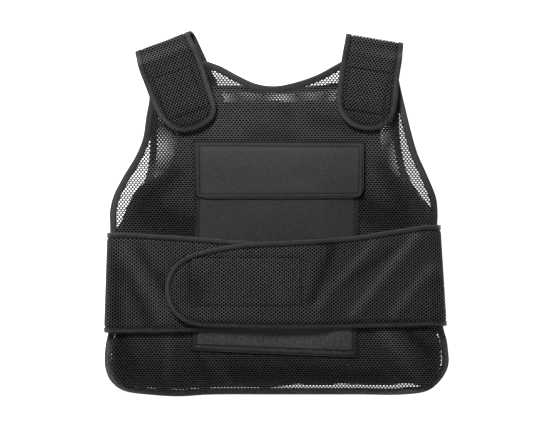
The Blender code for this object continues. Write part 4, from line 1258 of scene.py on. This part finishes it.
def beltTone(look):
    # painted shade round the flanks, where the belt curves away, and along the free run of the right belt;
    # painted highlight and shade on the creases
    def tone(x, y):
        side = 1 - 0.3 * between(np.abs(x), 222, 244)
        if look["side"] > 0:
            side = side * (1 - 0.24 * between(x, 50, 90))
        return reliefTone(creased(look["creases"], x, y)) * side

    return tone


def rightEndCover():
    # what the right belt hides of the left one
    left = smoothLine(rightBelt["end"], 6.0)[3:-3]
    loop = np.vstack([left, [(80, -162), (80, -46)]])
    centre = loop.mean(0)
    return counterclockwise(centre + (loop - centre) * 0.96)


print("belts")
for look in (leftBelt, rightBelt):
    patch = patchLoop(look["hook"]) if "hook" in look else None
    length = belt["joint"] + belt["arc"] + belt["rear"] + look["reach"]
    hidden = [rightEndCover()] if look is leftBelt else []
    dressStrip(look, belt, beltPlace(look), beltPath(look), patch, beltTone(look),
               (length * mm, belt["width"]), hidden)

# Straps: x across, y along, 0 at the fold and positive down the front
strap = {
    "foldRadius": 9.0, "floor": 0.15, "rear": 112.0, "clear": 3.2, "rise": 18.0,
    "binding": 8.4, "bindingThick": 3.2, "thick": 3.0, "pad": 1.4, "net": 2.52, "spacing": 5.0,
    "width": 0.089, "patchSize": (0.06, 0.066), "turn": 0.0, "tapeTone": shades["strapTape"],
    "toneRange": (0.0, 2.0),
}
leftStrap = {
    "name": "leftStrap", "node": "left_strap",
    "patch": "leftStrap", "patchNode": "left_strap_hook_patch",
    "fold": (-172.7, 259.9), "rearFold": (-163.5, 254.6), "frontLean": 19.0, "rearLean": 24.7,
    "sections": [
        (0, -43.5, 43.5), (30, -45.3, 46.3), (60, -44.4, 48), (80, -43.7, 47.5), (104, -41.3, 47),
        (122, -35.5, 45.6), (134.5, -27.2, 39), (142.4, -14.9, 26), (145, 0, 10),
    ],
    "hook": ((-30, 52), (30, 118)),
}
rightStrap = {
    "name": "rightStrap", "node": "right_strap",
    "patch": "rightStrap", "patchNode": "right_strap_hook_patch",
    "fold": (147.8, 262.1), "rearFold": (147.8, 262.1), "frontLean": -9.5, "rearLean": -9.5,
    "sections": [
        (0, -43.8, 44.1), (26, -44.3, 45), (58, -44.2, 45.4), (90, -42.5, 48), (109, -39.5, 46.8),
        (119.5, -34.3, 42.6), (129.4, -25, 34.5), (136, -14.5, 23), (138.8, -2.6, 12),
    ],
    "hook": ((-30, 48), (30, 112)),
}
foldQuarter = strap["foldRadius"] * math.pi / 2
foldExtra = foldQuarter - strap["foldRadius"]  # the fold's own cloth, beyond what it spans


def strapPlace(look):
    radius = strap["foldRadius"]
    rearZ = strap["floor"] + strap["bindingThick"] / 2
    centreZ = rearZ + radius
    frontTurn, rearTurn = math.radians(look["frontLean"]), math.radians(look["rearLean"])

    def plan(across, reach, share):
        turn = mixed(rearTurn, frontTurn, share)
        startX, startY = [mixed(rear, front, share) for rear, front in zip(look["rearFold"], look["fold"])]
        x = startX + np.cos(turn) * across + np.sin(turn) * reach
        return x, startY + np.sin(turn) * across - np.cos(turn) * reach

    def place(x, y, h):
        x, y, h = np.asarray(x, float), np.asarray(y, float), np.asarray(h, float)
        offset = h - strap["thick"] / 2
        angle = np.clip(y / radius, -math.pi / 2, math.pi / 2)
        out = radius + offset
        bendX, bendY = plan(x, radius - out * np.cos(angle), 0.5 + 0.5 * np.sin(angle))
        bendZ = centreZ + out * np.sin(angle)
        reach = np.abs(y) - foldQuarter + radius
        rearX, rearY = plan(x, reach, 0.0)
        overX, overY = plan(x, reach, 1.0)
        resting = coverOfFront(overX, overY) + strap["clear"] + strap["thick"] / 2
        overZ = mixed(centreZ + radius, resting, ramp((reach - radius) / strap["rise"])) + offset
        bend, rear = np.abs(y) < foldQuarter, y < 0
        outX = np.where(bend, bendX, np.where(rear, rearX, overX))
        outY = np.where(bend, bendY, np.where(rear, rearY, overY))
        return outX, outY, np.where(bend, bendZ, np.where(rear, rearZ - offset, overZ))

    return place


def strapPath(look):
    # down one side, round the free end and up the other side, rear end to rear end
    (_, firstLeft, firstRight), *rest = look["sections"]
    left = [(s[1], s[0] + foldExtra) for s in rest]
    right = [(s[2], s[0] + foldExtra) for s in rest]
    edge = smoothLine([(firstLeft, foldQuarter), *left, *right[::-1], (firstRight, foldQuarter)], 3.0)
    rear = np.arange(-(strap["rear"] + foldExtra), -foldQuarter, 4.0)
    stops = np.concatenate([rear, np.linspace(-foldQuarter, foldQuarter, 17)[:-1]])
    return np.vstack([paired(firstLeft, stops), edge, paired(firstRight, stops)[::-1]])[::-1]


print("straps")
for look in (leftStrap, rightStrap):
    length = strap["rear"] + look["sections"][-1][0] + 2 * foldExtra
    dressStrip(look, strap, strapPlace(look), strapPath(look), patchLoop(look["hook"], foldExtra),
               toneAlong("strap"), (strap["width"], length * mm))

# Panels
panel = {
    "binding": 10.3, "bindingThick": 3.2, "frontMid": 1.15, "backMid": 2.5, "sheetHalf": 0.25,
    "insertRound": 5.0, "insertNose": 1.0, "frontSize": (0.516, 0.512), "backSize": (0.504, 0.464),
    "frontTurn": 0.0,
    "backTurn": math.radians(4),  # the two panels' cloth wasn't cut in line, so their holes beat
}
panels = {"front": (frontOutline, onFront), "back": (backOutline, onBack)}


def buildInsert(side, insert, place):
    # a padded slab with rounded edges
    low, high, nose = insertCut["low"], insertCut["high"], panel["insertNose"]

    def face(middle, flatAt):
        def height(x, y):
            edge = np.clip(pathDistance(insert, x, y) / panel["insertRound"], 0, 1)
            return mixed(middle, flatAt, np.sqrt(1 - (1 - edge) ** 2))

        return height

    rims = np.vstack([moved(insert, d) for d in (0.6, 1.6, 3.0, 5.2)])
    cut = flatCut([insert], 7.0, 0.9, extra=clearOf(insert, rims, 0.4))
    bottom, top = face((low + high) / 2 - nose, low), face((low + high) / 2 + nose, high)
    piece = clothSolid(side + "InsertPad", cut, place, bottom, top, "insertCover", 70.0)
    finished(piece, [side + "_insert"])


print("inserts")
buildInsert("front", frontInsert, onFront)
buildInsert("back", backInsert, onBack)


def underSewnPieces(more):
    # what the pocket, the flap and the belts hide of the outer net
    loops = [shrunk(look["loop"], 3 + more) for look in (pocket, flap)]
    for look in (leftBelt, rightBelt):
        path = beltPath(look)
        ahead = path[np.abs(path[:, 0]) < belt["joint"] + 2]
        loops.append(shrunk(counterclockwise(ahead), 4 + more))
    return loops


def alongInsert(insert):
    return lambda more: [shrunk(insert, 6.0 + more)]


def joinPieces(main, other):
    # one object; both keep their materials and flat maps
    for piece in bpy.context.selected_objects:
        piece.select_set(False)
    main.select_set(True)
    other.select_set(True)
    bpy.context.view_layer.objects.active = main
    bpy.ops.object.join()
    main.select_set(False)


def buildNetPanel(side, layer, hiddenAt, shade):
    # open net where it shows, a plain sheet of the same cloth where it is covered
    outline, place = panels[side]
    name, height = side + layer, clothHeight(side + layer)
    size, half = panel[side + "Size"], panel["sheetHalf"]
    edge = shrunk(outline, panel["binding"] - 3.2)
    piece = drapedNet(name + "Net", [edge] + hiddenAt(3.0), place, height, "panelNet", shade,
                      panel[side + "Turn"], name)
    sheet = clothSolid(name + "NetCovered", flatCut([edge] + hiddenAt(0.0), 9.0), place,
                       lambda x, y: height(x, y) - half, lambda x, y: height(x, y) + half,
                       "drawnNet", shade=shade, loopsOver=2)
    share = (piece["flatArea"] + netArea(sheet.data)) / (size[0] * size[1])
    joinPieces(piece, sheet)
    finished(piece, [f"{side}_{layer.lower()}_mesh"], size)


# painted shade on the inner and back layers of net
inside = steady(shades["inside"])
for side, layer, hiddenAt, shade in (
    ("front", "Outer", underSewnPieces, panelShade),
    ("front", "Inner", alongInsert(frontInsert), inside),
    ("back", "Inner", alongInsert(backInsert), inside),
    ("back", "Outer", alongInsert(backInsert), inside),
):
    print(side, "panel:", layer.lower(), "net")
    buildNetPanel(side, layer, hiddenAt, shade)

print("bindings and seams")
panelTape = tapeSection(panel)
for side, (outline, place) in panels.items():
    name, mid = side + "Binding", panel[side + "Mid"]
    # the tape's tone along y paints light towards the hem
    band = sweptBand(name, outline, True, place, mid, panelTape, toneAlong("tape"))
    finished(band, [side + "_binding"], tapeFlat(outline, True, panelTape))
    seam = stitches(name + "Seam", moved(outline, panel["binding"] - 1.5), place,
                    steady(mid + panel["bindingThick"] / 2 - 0.2), closed=True)
    finished(seam)

for look in (pocket, flap):
    for part, loop in zip(("Inner", "Edge"), stitchLoops(look)):
        seam = stitches(look["name"] + "Seam" + part, loop, onFront, lambda x, y: look["high"](x, y) + 0.05,
                        hemLook["stitchPitch"], True, hemLook["stitchSize"])
        finished(seam)
